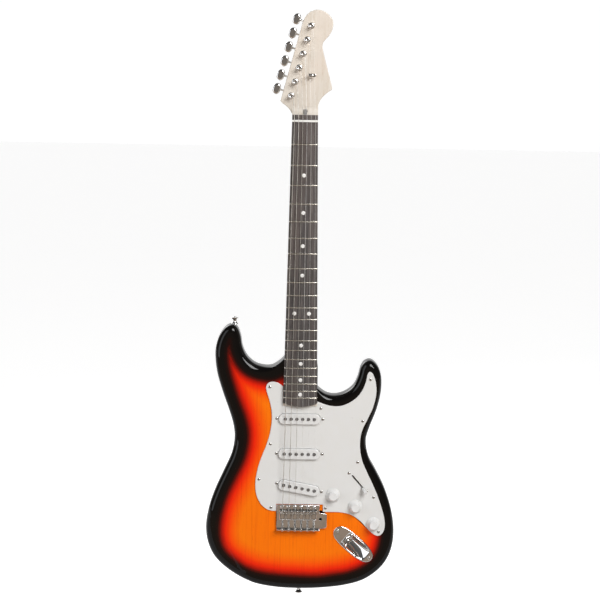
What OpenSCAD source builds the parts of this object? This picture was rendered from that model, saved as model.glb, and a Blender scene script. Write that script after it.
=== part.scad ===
// Electric guitar, double cutaway, bolt-on neck and six-screw tremolo.
// Frame: front face of the body at y = 0 and looking along -Y, +X to the treble side, +Z to the headstock.
// The origin lies on the centre line, at the nut's front edge. Millimetres.

/* [Neck] */
// Vibrating length of the strings, from the nut to the saddles
scale_length = 647.7; // [640:0.1:655]
// Number of frets
fret_count = 21; // [12:1:21]
// Width of the fretboard at the nut
nut_width = 42.4; // [41:0.1:44]
// Width of the fretboard at its body end
heel_width = 56.6; // [55:0.1:58]
// Radius of the playing surface across the fretboard
board_radius = 241; // [180:1:400]
// Thickness of the headstock
headstock_thickness = 14.5; // [13:0.1:16]

/* [Body] */
// Thickness of the body
body_thickness = 44; // [42:0.5:46]
// Thickness of the pickguard
guard_thickness = 2.3; // [1.5:0.1:2.5]
// Thickness of the tremolo cavity's cover
cover_thickness = 2; // [1.5:0.1:3]

/* [Hardware] */
// Spacing of the strings at the bridge
bridge_pitch = 10.5; // [10.4:0.05:10.8]
// Spacing of the strings at the nut
nut_pitch = 6.85; // [6.6:0.05:7]
// Distance between two neighbouring tuner posts
tuner_pitch = 23.5; // [22:0.1:25]
// Diameter of a knob's skirt
knob_diameter = 24; // [20:0.5:26]
// Height of a knob
knob_height = 14; // [12:0.5:18]
// Diameter of the plug that the output jack takes
plug_diameter = 6.35; // [6.3:0.01:6.4]
// Diameter of the tremolo arm's thread
arm_thread = 5; // [4.8:0.1:6]

/* [Hidden] */
$fn = 48;
eps = 0.01;

// Strings are numbered from the thinnest, on the treble side, to the thickest
gauges = [0.23, 0.28, 0.41, 0.66, 0.91, 1.17];

// Levels along y: the board's crown, its underside, the neck's back and the headstock's two faces
board_top = -9.5;
board_under = -4;
pocket_depth = 16;
neck_back_at_nut = 11.5;
neck_back_at_heel = 13.8;
headstock_front = pocket_depth - headstock_thickness;
headstock_back = pocket_depth;
fret_height = 1.1;
fret_width = 2.4;

// Levels along z
board_start = 11.5;
nut_thickness = 3.3;
board_end = -470;
end_arc_radius = 70;
heel_start = -398;
ramp_length = 13.5;

// Tuners stand on a line that leans away from the strings
tuner_lean = 15.2;
first_post = [7.6, 155.4];
key_depth = 21.5;
worm_offset = 4.5;
button_reach = 26.4;
gear_radius = 2.6;
post_radius = 3;
winding_level = -8;

// Bridge
saddle_z = -scale_length - 1.5;
pivot_z = -640;
pivot_y = -2.6;
plate_top = -5.2;
plate_front = -637;
plate_edge_radius = 1.2;
rock_axis = [(plate_top + pivot_y) / 2, plate_front - plate_edge_radius];
plate_rear = -679.5;
plate_half = 37;
saddle_top = -13.2;
saddle_length = 14.5;
block_z = -659;
block_depth = 38;
arm_hole = [37.5, -660.5];

// Places on the body's front, as [x, z]
pickup_places = [[0, -491.5, 0], [0, -550.5, 0], [0.5, -607.8, -10]];
pickup_screw_spacing = 76.5;
pole_pitches = [9.6, 10, 10.4];
pickup_tops = [-7.2, -7.8, -8.6];
pot_places = [[57.6, -619.5], [95.2, -638.3], [126.1, -667.8]];
switch_place = [98.6, -596.9];
switch_direction = -45;
slot_direction = -49;
switch_screw_spacing = 42;
slot_length = 30;
lever_pivot_y = 16;
lever_rest = 32;
guard_screw_places = [
    [-50.8, -438.5], [34.6, -473.3], [116.1, -423.4], [104.5, -493.5], [97.6, -563.3], [125.3, -622.4],
    [134.8, -681.3], [45.3, -642.3], [-45.9, -642.5], [-66.7, -595.1], [-48.4, -534.7]
];
cover_screw_places = [[-40, -548], [40, -548], [-40, -618], [40, -618], [-40, -688], [40, -688]];
jack_start = [62.7, -677.5];
jack_direction = -40.6;
jack_length = 80;
jack_tilt = 40;
upper_button = [-111, -337];
lower_button = [3, -782.5];
button_depth = 22;
neck_screw_places = [[-19, -406.5], [19, -406.5], [-19, -456.5], [19, -456.5]];

// Colours
maple = [0.87, 0.78, 0.62];
rosewood = [0.24, 0.15, 0.11];
burst = [0.98, 0.47, 0.05];
white = [0.93, 0.93, 0.91];
chrome = [0.78, 0.78, 0.8];
steel = [0.6, 0.61, 0.63];
brass = [0.75, 0.6, 0.3];
black = [0.1, 0.1, 0.1];

// ---- Curves: Catmull-Rom splines through hand-set points ----
function spline_point(a, b, c, d, t) =
    0.5 * (2 * b + (c - a) * t + (2 * a - 5 * b + 4 * c - d) * t * t + (3 * b - a - 3 * c + d) * t * t * t);
function open_curve(p, steps = 4) = [
    for (i = [0 : len(p) - 2], k = [0 : steps - 1])
        spline_point(p[max(i - 1, 0)], p[i], p[i + 1], p[min(i + 2, len(p) - 1)], k / steps),
    p[len(p) - 1]
];
function closed_curve(p, steps = 4) = let (n = len(p)) [
    for (i = [0 : n - 1], k = [0 : steps - 1])
        spline_point(p[(i + n - 1) % n], p[i], p[(i + 1) % n], p[(i + 2) % n], k / steps)
];
function turned(v, a) = [v.x * cos(a) - v.y * sin(a), v.x * sin(a) + v.y * cos(a)];
// A bar with round ends between the points a and b
function stadium(a, b, r, n = 10) = let (dir = atan2(b.y - a.y, b.x - a.x)) [
    for (k = [0 : n]) b + r * [cos(dir - 90 + 180 * k / n), sin(dir - 90 + 180 * k / n)],
    for (k = [0 : n]) a + r * [cos(dir + 90 + 180 * k / n), sin(dir + 90 + 180 * k / n)]
];
function bar(place, length, width, angle) =
    let (half = turned([(length - width) / 2, 0], angle)) stadium(place - half, place + half, width / 2);

// ---- Solids placed in the guitar's frame ----
// An outline drawn in the x-z plane, filled from level y0 to level y1
module slab(y0, y1) {
    translate([0, y1, 0]) rotate([90, 0, 0]) linear_extrude(height = y1 - y0) children();
}
// A round bar along y at place [x, z]
module peg(place, y0, y1, r) {
    translate([place.x, y1, place.y]) rotate([90, 0, 0]) cylinder(h = y1 - y0, r = r);
}
// A block between two corners
module block(low, high) {
    translate(low) cube(high - low);
}
// A round bar between two points
module rod(a, b, r) {
    v = b - a;
    translate(a) rotate([0, acos(v.z / norm(v)), atan2(v.y, v.x)]) cylinder(h = norm(v), r = r);
}
// A thin tube through a list of points
module tube(points, r, sides = 8) {
    last = len(points) - 1;
    rings = [for (i = [0 : last])
        let (
            dir = points[min(i + 1, last)] - points[max(i - 1, 0)],
            across = cross(dir, [0.01, 1, 0.02]),
            u = across / norm(across),
            v = cross(u, dir) / norm(dir)
        )
        for (k = [0 : sides - 1]) points[i] + r * (cos(360 * k / sides) * u + sin(360 * k / sides) * v)
    ];
    polyhedron(rings, concat(
        [[for (k = [0 : sides - 1]) k]],
        [[for (k = [sides - 1 : -1 : 0]) last * sides + k]],
        [for (i = [0 : last - 1], k = [0 : sides - 1])
            let (a = i * sides + k, b = i * sides + (k + 1) % sides) [b, a, a + sides, b + sides]]
    ));
}
// A wood screw driven along +y: a domed head in front of level y, then its shank
module screw(place, y, length, r, head_r, head_h) {
    peg(place, y - head_h, y, head_r);
    peg(place, y - eps, y + length, r);
}

// ---- Neck geometry ----
function half_width(z) = nut_width / 2 - (heel_width - nut_width) / 2 * z / -board_end;
function crown_drop(x) = x * x / (2 * board_radius);
function fret_z(n) = -scale_length * (1 - pow(2, -n / 12));
function nut_x(s) = (3.5 - s) * nut_pitch;
function bridge_x(s) = (3.5 - s) * bridge_pitch;
function string_at_nut(s) =
    [nut_x(s), board_top - fret_height - 0.5 + crown_drop(nut_x(s)) - gauges[s - 1] / 2, 0];
function string_at_bridge(s) =
    [bridge_x(s), saddle_top - 0.1 + crown_drop(bridge_x(s)) - gauges[s - 1] / 2, saddle_z];
function post_place(s) = first_post - (s - 1) * tuner_pitch * [sin(tuner_lean), cos(tuner_lean)];

function neck_plan(gap = 0) = let (
    arc_centre = board_end + end_arc_radius - gap,
    corner = half_width(board_end) + gap,
    side = asin(corner / end_arc_radius)
) [
    [-half_width(board_start) - gap, board_start],
    [half_width(board_start) + gap, board_start],
    for (k = [0 : 12])
        let (a = side - 2 * side * k / 12)
            [end_arc_radius * sin(a), arc_centre - end_arc_radius * cos(a)]
];
module board_cylinder() {
    translate([0, board_top + board_radius, board_end - 1])
        cylinder(h = board_start - board_end + 2, r = board_radius, $fn = 720);
}

headstock_left = [[-20.6, 11.4], [-25.6, 19.8], [-31.6, 25.7], [-37.6, 30]];
headstock_edge = [[-40.8, 33.6], [-6.4, 162]];
headstock_top = [
    [-1.6, 171.4], [6.4, 178.6], [17.6, 181.6], [28.4, 179], [37, 172.8], [42.4, 165], [43.2, 157.5],
    [41.4, 148.6], [36.8, 140.2], [31, 133.6], [27.4, 128.6], [26.3, 122.8], [27.6, 115.4],
    [31.2, 101.2], [36, 83.6], [40.4, 67.6]
];
headstock_tip = [
    [43.4, 56.6], [42.9, 53.4], [40, 50.8], [33.8, 46.2], [28, 40.6], [23.8, 34.4], [21.3, 27], [20.6, 19.5],
    [20.6, 11.4]
];
headstock_outline = concat(
    open_curve(headstock_left), headstock_edge, open_curve(headstock_top), open_curve(headstock_tip)
);

// A round back: a slightly tilted cone whose rear runs from level top_y at top_z down to low_y at low_z
module round_back(top_z, top_y, top_r, low_z, low_y, low_r) {
    length = top_z - low_z;
    tilt = atan((low_y - low_r - top_y + top_r) / length);
    translate([0, top_y - top_r, top_z]) rotate([-tilt, 0, 0]) mirror([0, 0, 1])
        cylinder(h = length, r1 = top_r, r2 = low_r, $fn = 96);
}
// The shaft, the thicker wood behind the nut and the square heel, all trimmed to the fretboard's plan
module neck_shaft() {
    intersection() {
        slab(board_under, pocket_depth) polygon(neck_plan());
        union() {
            round_back(board_start, neck_back_at_nut, 21.9, heel_start - 8, neck_back_at_heel, 29.8);
            block([-40, board_under - 5, board_end - 5], [40, pocket_depth + 5, heel_start]);
        }
    }
}
module headstock() {
    ramp_r = (ramp_length * ramp_length + pow(headstock_front - board_under, 2))
        / (2 * (headstock_front - board_under));
    slab(headstock_front, headstock_back) polygon(headstock_outline);
    // Ramp from the end of the fretboard down to the headstock's face
    difference() {
        block([-half_width(board_start), board_under, board_start - 0.5],
              [half_width(board_start), headstock_front + 1, board_start + ramp_length]);
        translate([-30, headstock_front - ramp_r, board_start + ramp_length])
            rotate([0, 90, 0]) cylinder(h = 60, r = ramp_r, $fn = 120);
    }
}
module neck() {
    color(maple) difference() {
        union() {
            neck_shaft();
            headstock();
        }
        block([-3, board_under - 1, -458], [3, 3.5, board_start + 11]);
        for (s = [1 : 6]) peg(post_place(s), 0, headstock_back + 1, 4.4);
        for (s = [1 : 6]) at_tuner(s) tuner_screw_shanks(1.2);
        for (p = neck_screw_places) peg(p, 1.5, pocket_depth + 1, 2);
        peg([10.4, 75.5], headstock_front - 1, 12, 1.2);
    }
}
module fretboard() {
    color(rosewood) difference() {
        intersection() {
            slab(board_top - 1, board_under) polygon(neck_plan());
            board_cylinder();
        }
        block([-30, board_top - 2, 0], [30, board_top + 2.5, nut_thickness]);
        for (n = [1 : fret_count])
            block([-40, board_top - 2, fret_z(n) - 0.3], [40, board_top + 3, fret_z(n) + 0.3]);
        marker_pegs(board_top - 2, board_top + 1.6);
    }
}
module frets() {
    color(steel) for (n = [1 : fret_count]) translate([0, 0, fret_z(n)]) {
        w = half_width(fret_z(n)) - 0.2;
        difference() {
            intersection() {
                fret_cylinder(board_radius + fret_height, fret_width);
                block([-w, board_top - 3, -2], [w, board_top + 3, 2]);
            }
            difference() {
                fret_cylinder(board_radius, fret_width + 1);
                block([-w + 1, board_top - 3, -0.3], [w - 1, board_top + 3, 0.3]);
            }
        }
    }
}
module fret_cylinder(r, width) {
    translate([0, board_top + board_radius, -width / 2]) cylinder(h = width, r = r, $fn = 180);
}
module marker_pegs(y0, y1) {
    middles = [3, 5, 7, 9, 15, 17, 19, 21];
    for (n = middles) peg([0, (fret_z(n - 1) + fret_z(n)) / 2], y0, y1, 3.2);
    for (x = [-12, 12]) peg([x, (fret_z(11) + fret_z(12)) / 2], y0, y1, 3.2);
}
module fret_markers() {
    color(white) intersection() {
        marker_pegs(board_top - 2, board_top + 1.6);
        board_cylinder();
    }
}
module nut() {
    w = half_width(0);
    slack = 0.25;
    color(white) difference() {
        block([-w, board_top - 2.8, 0], [w, board_top + 2.5, nut_thickness]);
        for (s = [1 : 6]) {
            half = gauges[s - 1] / 2 + slack;
            block([nut_x(s) - half, board_top - 4, -1],
                  [nut_x(s) + half, string_at_nut(s).y + half, nut_thickness + 1]);
        }
    }
}
module truss_rod() {
    color(steel) {
        translate([0, 0.4, -455]) cylinder(h = 455 + board_start, r = 2.4);
        translate([0, 0.4, board_start]) cylinder(h = 9, r = 2.9, $fn = 6);
    }
}
module string_tree() {
    color(chrome) {
        slab(-8.4, -7.3) polygon(bar([10.4, 75.5], 12.6, 6, -6));
        peg([10.4, 75.5], -7.3, headstock_front, 1.7);
        peg([10.4, 75.5], headstock_front, 11, 1.1);
    }
}

// ---- Tuners ----
module at_tuner(s) {
    translate([post_place(s).x, 0, post_place(s).y]) rotate([0, tuner_lean, 0]) children();
}
module tuner_screw_shanks(r) {
    for (x = [-4.6, 4.6]) peg([x, -9], 8, headstock_back + 2.5, r);
}
module tuner_housings() {
    color(chrome) for (s = [1 : 6]) at_tuner(s) difference() {
        union() {
            block([-7.5, headstock_back, -6.4], [7.5, 27, 8.6]);
            block([-7.5, headstock_back, -11.4], [7.5, 18, -6.4]);
            rod([-7.5, key_depth, worm_offset], [-12.5, key_depth, worm_offset], 3.1);
        }
        block([-6.2, headstock_back - 1, -5.1], [6.2, 25.7, 7.3]);
        rod([-5, key_depth, worm_offset], [-13.5, key_depth, worm_offset], 1.7);
        tuner_screw_shanks(1.25);
    }
}
module tuner_bushings() {
    color(chrome) for (s = [1 : 6]) difference() {
        union() {
            peg(post_place(s), headstock_front - 2, headstock_front, 5.8);
            peg(post_place(s), headstock_front - eps, headstock_front + 8, 4.35);
        }
        peg(post_place(s), headstock_front - 4, headstock_front + 9, post_radius + 0.08);
    }
}
module tuner_screws() {
    color(chrome) for (s = [1 : 6]) at_tuner(s) {
        tuner_screw_shanks(1.1);
        for (x = [-4.6, 4.6]) peg([x, -9], 18, 19.4, 2.3);
    }
}
button_outline = [[-33, 0], [-32.2, 5.2], [-28.6, 8.9], [-24, 9.4], [-20.6, 6.4], [-19.8, 2.6]];
module tuner_key(s) {
    outline = concat(button_outline, [for (k = [5 : -1 : 1]) [button_outline[k].x, -button_outline[k].y]]);
    color(chrome) at_tuner(s) {
        translate([0, 0, worm_offset]) slab(key_depth - 3.6, key_depth + 3.6) polygon(closed_curve(outline));
        rod([-5.5, key_depth, worm_offset], [-20.2, key_depth, worm_offset], 1.6);
        rod([6, key_depth, worm_offset], [-5.5 - eps, key_depth, worm_offset], 1.2);
    }
}
module tuner_post(s) {
    teeth = 15;
    color(chrome) at_tuner(s) {
        difference() {
            peg([0, 0], -14, 19.6, post_radius);
            block([-0.6, -15, -4], [0.6, -10.5, 4]);
        }
        slab(19.5, 23) polygon([
            for (k = [0 : 4 * teeth - 1]) let (r = k % 4 < 2 ? gear_radius : gear_radius - 0.5)
                r * [cos(90 * k / teeth), sin(90 * k / teeth)]
        ]);
        peg([0, 0], winding_level - 2, winding_level + 2, post_radius + 0.8);
    }
}

// ---- Strings ----
// Where a string meets its post's winding, on the side that faces the fretboard's middle
function string_at_post(s) = [
    post_place(s).x + post_radius + 1.15 + gauges[s - 1] / 2, winding_level, post_place(s).y
];
function tree_crossing(s) = let (n = string_at_nut(s), p = string_at_post(s), t = 75.5 / p.z)
    [n.x + (p.x - n.x) * t, -6.9, 75.5];
function string_route(s) = let (b = string_at_bridge(s)) concat(
    [string_at_post(s)], s <= 2 ? [tree_crossing(s)] : [],
    [string_at_nut(s), b, [b.x, plate_top - 1, block_z + 0.8], [b.x, pivot_y, block_z]]
);
module strings() {
    color(steel) for (s = [1 : 6]) tube(string_route(s), gauges[s - 1] / 2);
}

// ---- Body ----
body_edge = [
    [-27.6, -391], [-36, -399], [-48, -406], [-62, -406], [-77, -401], [-90, -389], [-97.5, -373],
    [-100.5, -356], [-106, -342], [-114.5, -336.6], [-125, -340.6], [-134.5, -353], [-140.6, -370],
    [-142.2, -389], [-138.6, -418], [-129, -450], [-118, -480.5], [-110.5, -506], [-108.6, -529],
    [-113.5, -555], [-126, -584], [-140, -616], [-150.5, -648.5], [-155, -681], [-150.5, -711],
    [-136.5, -736.5], [-109, -758.7], [-75, -774.5], [-38, -781.6], [0, -783.3], [40, -781.8], [80, -776.4],
    [113, -765.8], [140, -745], [155.5, -719], [161, -687], [157, -650], [144.5, -611], [129, -580],
    [116, -556], [111, -529], [116, -507], [127.5, -476], [134, -447.5], [134.5, -422], [129, -404],
    [118, -393.3], [107, -395], [100, -404.5], [95.5, -421.5], [88, -437], [75, -447.5], [59, -452.6],
    [43, -450.4], [28.6, -441]
];
heel_corner = [[28.3, -404], [26.5, -396.5], [21, -392.5]];
body_outline = concat(open_curve(body_edge), open_curve(heel_corner, 3));

module switch_cavity_outline() {
    polygon(bar(switch_place, 62, 24, switch_direction));
}
module control_cavity() {
    slab(-1, 34) union() {
        polygon(stadium(pot_places[0], pot_places[1], 13.5));
        polygon(stadium(pot_places[1], pot_places[2], 13.5));
        polygon(stadium([82, -600], [84, -628], 15));
        switch_cavity_outline();
    }
}
module at_jack() {
    translate([jack_start.x, 0, jack_start.y]) rotate([0, -jack_direction, 0]) children();
}
// Slope of the jack's wall: the barrel points out of the dish at jack_tilt from the body's face
function jack_axis() = [cos(jack_tilt), -sin(jack_tilt)];
wall_top = [21.5, -1];
wall_foot = wall_top + 22 * [sin(jack_tilt), cos(jack_tilt)];
wall_middle = (wall_top + wall_foot) / 2;
module jack_barrel_hole(from, to, r) {
    a = wall_middle + from * jack_axis();
    b = wall_middle + to * jack_axis();
    rod([a.x, a.y, 0], [b.x, b.y, 0], r);
}
// The forearm bevel: a sloping cut over the front's lower bass edge, outside the line from a to b
module forearm_cut(a = [-168, -618], b = [-62, -800], angle = 14) {
    translate([a.x, 0, a.y])
        rotate([0, -atan2(b.y - a.y, b.x - a.x), 0])
        rotate([angle, 0, 0])
        translate([-40, -60, -160]) cube([norm(b - a) + 80, 60, 160]);
}
// The belly cut: a wide round hollow over the back's bass edge at the waist
module belly_cut(radius = 300, depth = 12, start = -60, middle = -525) {
    slope = depth / 50;
    axis_y = body_thickness + radius;
    rod([start - 140, axis_y - 140 * slope, middle], [start + 60, axis_y + 60 * slope, middle], radius,
        $fn = 360);
}
module body() {
    color(burst) difference() {
        slab(0, body_thickness) polygon(body_outline);
        forearm_cut();
        belly_cut();
        slab(-1, pocket_depth) polygon(neck_plan());
        for (p = pickup_places) slab(-1, 20) polygon(bar([p.x, p.y], 94, 27, p[2]));
        slab(-1, 12) union() {
            polygon(stadium([38, -491.5], [38, -552], 5));
            polygon(stadium([38, -552], [50, -606], 5));
            polygon(stadium([50, -606], [70, -612], 6));
        }
        control_cavity();
        // Tremolo: the slot for the block, and the spring cavity cut from the back
        block([-36.8, -1, -677.5], [44.9, body_thickness + 1, -647]);
        block([-34, 29, -690], [34, body_thickness + 1, -549]);
        // Jack: the dish's pocket, the drilled bore behind it and the wire's way in
        at_jack() {
            block([18, -1, -11.6], [68, 19, 11.6]);
            jack_barrel_hole(2, -28, 10.5);
        }
        rod([78, 24, -690], [86, 24, -652], 4);
        // Screw holes
        for (p = guard_screw_places) peg(p, -1, 12, 1.3);
        for (p = cover_screw_places) peg(p, body_thickness - 12, body_thickness + 1, 1.3);
        for (p = neck_screw_places) peg(p, pocket_depth - 1, body_thickness + 1, 2.3);
        for (k = [0 : 5]) peg([(k - 2.5) * 10.8, pivot_z], -1, 18, 1.6);
        for (s = [5, 75]) peg(jack_point(s), -1, 14, 1.3);
        for (x = [-16, 16]) rod([x, 37, -552], [x, 32.75, -518], 1.85);
        at_buttons() translate([0, 0, -22]) cylinder(h = 24, r = 1.8);
        at_buttons() cylinder(h = 4, r = 6);
        rod([47, 9, -601], [73, 19.2, -604.5], 1.8);
        rod([75, 21.6, -640.5], [87, 24.4, -657], 1.8);
    }
}
function jack_point(s) = jack_start + turned([s, 0], jack_direction);

guard_left = [
    [-22, -443], [-29, -437], [-37.5, -431.5], [-47.5, -429.8], [-54.5, -433], [-57, -440], [-55, -449],
    [-50.8, -462], [-47.4, -478], [-46.8, -496], [-49.4, -516.5], [-55.5, -538], [-63.5, -559],
    [-69.6, -580], [-72.5, -602], [-70.5, -621.5], [-62.5, -637.5], [-51, -646.6], [-38, -648.8]
];
guard_right = [
    [41, -649.2], [59, -648.8], [76, -649.8], [91, -654.4], [104, -663.6], [115, -675], [125, -684.4],
    [133, -688.3], [140, -685.6], [144.4, -677.5], [145.2, -664], [141, -645], [133, -622], [123.5, -600],
    [113, -578.5], [104.5, -558], [101, -535], [103.4, -512], [112, -492], [121, -471.5], [126, -449.5],
    [125.6, -431],
    [121, -416], [115.2, -410.4], [111, -415], [108.4, -427.5], [102.5, -442.5], [93, -454.7], [80.5, -463.7],
    [66, -469], [48, -468.2], [22, -460]
];
module pickguard() {
    color(white) difference() {
        slab(-guard_thickness, 0) polygon(concat(open_curve(guard_left), open_curve(guard_right)));
        slab(-5, 1) polygon(neck_plan(0.2));
        block([-37.8, -5, -660], [41, 1, -636.2]);
        for (p = pickup_places) slab(-5, 1) polygon(bar([p.x, p.y], 70.6, 18.6, p[2]));
        for (p = pickup_places, side = [-1, 1]) peg(pickup_screw(p, side), -5, 1, 1.7);
        for (p = pot_places) peg(p, -5, 1, 4);
        for (side = [-1, 1]) peg(switch_screw(side), -5, 1, 1.7);
        slab(-5, 1) polygon(bar(switch_place, slot_length, 2.4, slot_direction));
        for (p = guard_screw_places) peg(p, -5, 1, 1.7);
    }
}
function pickup_screw(p, side) = [p.x, p.y] + side * turned([pickup_screw_spacing / 2, 0], p[2]);
function switch_screw(side) = switch_place + side * turned([switch_screw_spacing / 2, 0], switch_direction);

module plate_screws() {
    color(steel) {
        for (p = guard_screw_places) screw(p, -guard_thickness, 13, 1.3, 2.6, 1.2);
        for (s = [5, 75]) screw(jack_point(s), -1.5, 13, 1.3, 2.6, 1.2);
        for (p = cover_screw_places)
            translate([0, 2 * (body_thickness + cover_thickness), 0]) mirror([0, 1, 0])
                screw(p, body_thickness + cover_thickness, 12, 1.3, 2.6, 1.2);
    }
}
module neck_plate() {
    color(chrome) difference() {
        block([-25.5, body_thickness, -463.5], [25.5, body_thickness + 1.6, -399.5]);
        for (p = neck_screw_places) peg(p, body_thickness - 1, body_thickness + 3, 2.4);
    }
}
module neck_screws() {
    color(chrome) for (p = neck_screw_places) {
        peg(p, body_thickness + 1.6, body_thickness + 3.2, 4);
        peg(p, 2, body_thickness + 1.6 + eps, 1.95);
    }
}
// A strap button seen from its foot on the body: a flange, a waist and a wide head
module strap_button() {
    rotate_extrude() polygon([
        [2, 0], [5.8, 0], [5.2, 1.6], [3.8, 3], [3.4, 5.6], [4.4, 8], [6.2, 9.2], [6.4, 10.6], [5, 11.4],
        [2, 11.4]
    ]);
}
module at_buttons() {
    translate([upper_button.x, button_depth, upper_button.y]) children();
    translate([lower_button.x, button_depth, lower_button.y]) rotate([180, 0, 0]) children();
}
module strap_buttons() {
    color(chrome) at_buttons() strap_button();
}
module strap_button_screws() {
    color(steel) at_buttons() {
        translate([0, 0, -20]) cylinder(h = 31.4, r = 1.75);
        translate([0, 0, 11.4 - eps]) cylinder(h = 1.2, r = 3.6);
    }
}
boat_half = [[0, 0], [2.2, 7], [9, 12], [22, 14.6], [40, 15.2], [58, 14.4], [71, 11.4], [77.8, 6.6]];
boat_outline = concat(boat_half, [[80, 0]], [for (k = [7 : -1 : 1]) [boat_half[k].x, -boat_half[k].y]]);
// Side view of the dish: the wall that carries the jack, then a floor that rises to the far end
module dish(grow, width) {
    translate([0, 0, -width / 2]) linear_extrude(height = width) polygon([
        wall_top + [-grow, -2], wall_top + [-grow, 0], wall_foot + [-grow, grow], wall_foot + [grow, grow],
        [64 + 2 * grow, -1], [64 + 2 * grow, -3]
    ]);
}
module jack_plate() {
    color(chrome) at_jack() difference() {
        union() {
            slab(-1.5, 0) polygon(closed_curve(boat_outline));
            intersection() {
                dish(1.2, 22.4);
                translate([0, -1, -50]) cube([100, 30, 100]);
            }
        }
        dish(0, 20);
        jack_barrel_hole(-4, 4, 4.8);
        for (s = [5, 75]) peg([s, 0], -3, 1, 1.7);
    }
}
module output_jack() {
    color(steel) at_jack() difference() {
        union() {
            jack_barrel_hole(-22, -1.9, 7.2);
            jack_barrel_hole(-2, 2.4, 4.7);
            difference() {
                jack_barrel_hole(0.1, 1.8, 6.6);
                jack_barrel_hole(-1, 3, 4.7);
            }
        }
        jack_barrel_hole(-10, 5, plug_diameter / 2);
    }
}
module back_cover() {
    color(white) difference() {
        slab(body_thickness, body_thickness + cover_thickness) polygon(
            [for (c = [[38, -547, 0], [-38, -547, 90], [-38, -689, 180], [38, -689, 270]], a = [0 : 15 : 90])
                [c.x, c.y] + 7 * [cos(a + c[2]), sin(a + c[2])]]);
        for (s = [1 : 6]) slab(body_thickness - 1, body_thickness + 4)
            polygon(stadium([bridge_x(s), block_z - 7], [bridge_x(s), block_z + 7], 3));
        for (p = cover_screw_places) peg(p, body_thickness - 1, body_thickness + 4, 1.5);
    }
}

// ---- Pickups ----
module at_pickup(p) {
    translate([p.x, 0, p.y]) rotate([0, -p[2], 0]) children();
}
function pole_x(i, k) = (k - 2.5) * pole_pitches[i];
module pickup_covers() {
    color(white) for (i = [0 : 2]) at_pickup(pickup_places[i]) difference() {
        slab(pickup_tops[i], 6) polygon(bar([0, 0], 69.8, 17.8, 0));
        slab(pickup_tops[i] + 1.2, 7) polygon(bar([0, 0], 67.4, 15.4, 0));
        for (k = [0 : 5]) peg([pole_x(i, k), 0], pickup_tops[i] - 1, 5, 2.55);
    }
}
module pickup_coils() {
    for (i = [0 : 2]) at_pickup(pickup_places[i]) {
        color(black) difference() {
            union() {
                slab(6, 8.4) polygon(bar([0, 0], 86, 19, 0));
                slab(pickup_tops[i] + 1.4, 6 + eps) polygon(bar([0, 0], 62, 9, 0));
            }
            for (k = [0 : 5]) peg([pole_x(i, k), 0], -20, 12, 2.5);
            for (x = [-1, 1]) peg([x * pickup_screw_spacing / 2, 0], 5, 10, 1.55);
        }
        color(brass) difference() {
            slab(pickup_tops[i] + 1.6, 5.8) polygon(bar([0, 0], 66.6, 14.6, 0));
            slab(-12, 7) polygon(bar([0, 0], 62.4, 9.4, 0));
        }
    }
}
module pickup_poles() {
    color(steel) for (i = [0 : 2], k = [0 : 5])
        at_pickup(pickup_places[i]) peg([pole_x(i, k), 0], pickup_tops[i] - 1, 11, 2.45);
}
module machine_screws() {
    color(steel) {
        for (p = pickup_places, side = [-1, 1])
            screw(pickup_screw(p, side), -guard_thickness, 19, 1.5, 2.6, 1.2);
        for (side = [-1, 1]) screw(switch_screw(side), -guard_thickness, 6, 1.5, 2.6, 1.2);
    }
}
module pickup_springs() {
    color(steel) for (p = pickup_places, side = [-1, 1]) difference() {
        peg(pickup_screw(p, side), 0, 6, 2.7);
        peg(pickup_screw(p, side), -1, 7, 2);
    }
}

// ---- Controls ----
module at_switch(direction) {
    translate([switch_place.x, 0, switch_place.y]) rotate([0, -direction, 0]) children();
}
module switch_frame() {
    color(steel) at_switch(slot_direction) {
        difference() {
            union() {
                block([-24.5, 0, -6.5], [24.5, 1.5, 6.5]);
                for (side = [-1, 1]) block([-17, 1.4, side * 4.3 - 0.8], [17, 30, side * 4.3 + 0.8]);
                block([-17, 28.6, -4.4], [17, 30, 4.4]);
            }
            block([-15.5, -1, -2.2], [15.5, 3, 2.2]);
            rotate([0, slot_direction - switch_direction, 0])
                for (side = [-1, 1]) peg([side * switch_screw_spacing / 2, 0], -1, 3, 1.55);
        }
        rod([0, lever_pivot_y, -4.4], [0, lever_pivot_y, 4.4], 1.5);
    }
}
module switch_lever() {
    at_switch(slot_direction) translate([0, lever_pivot_y, 0]) rotate([0, 0, lever_rest]) {
        color(steel) difference() {
            union() {
                translate([-2.4, -30, -0.7]) cube([4.8, 30, 1.4]);
                translate([0, 0, -0.7]) cylinder(h = 1.4, r = 8);
            }
            translate([0, 0, -2]) cylinder(h = 4, r = 1.6);
        }
        color(white) difference() {
            translate([-3.6, -38.5, -2.9]) cube([7.2, 12.5, 5.8]);
            translate([-2.4, -30, -0.7]) cube([4.8, 10, 1.4]);
        }
    }
}
module pot_cases() {
    color(steel) for (p = pot_places) difference() {
        union() {
            peg(p, 0, 1.6, 6.5);
            peg(p, 1.5, 12, 11);
            peg(p, -5.4, 0.1, 3.9);
            difference() {
                peg(p, -4.4, -guard_thickness, 5.8);
                peg(p, -5, -1, 3.9);
            }
        }
        peg(p, -6, 9, 3.08);
    }
}
module knob(place) {
    base = -3;
    top = base - knob_height;
    color(white) translate([place.x, 0, place.y]) rotate([90, 0, 0]) rotate_extrude() polygon([
        [8.2, -base], [knob_diameter / 2, -base], [knob_diameter / 2 - 1, -base + 2.6], [7.6, -base + 5.4],
        [6.4, -top - 0.8], [5.6, -top], [0, -top], [0, -top - 3], [3.04, -top - 3], [3.04, -base + 4],
        [8.2, -base + 4]
    ]);
    color(steel) peg(place, top + 3.1, 7, 3);
}
module volume_knob() {
    knob(pot_places[0]);
}
module tone_knob_1() {
    knob(pot_places[1]);
}
module tone_knob_2() {
    knob(pot_places[2]);
}
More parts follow.
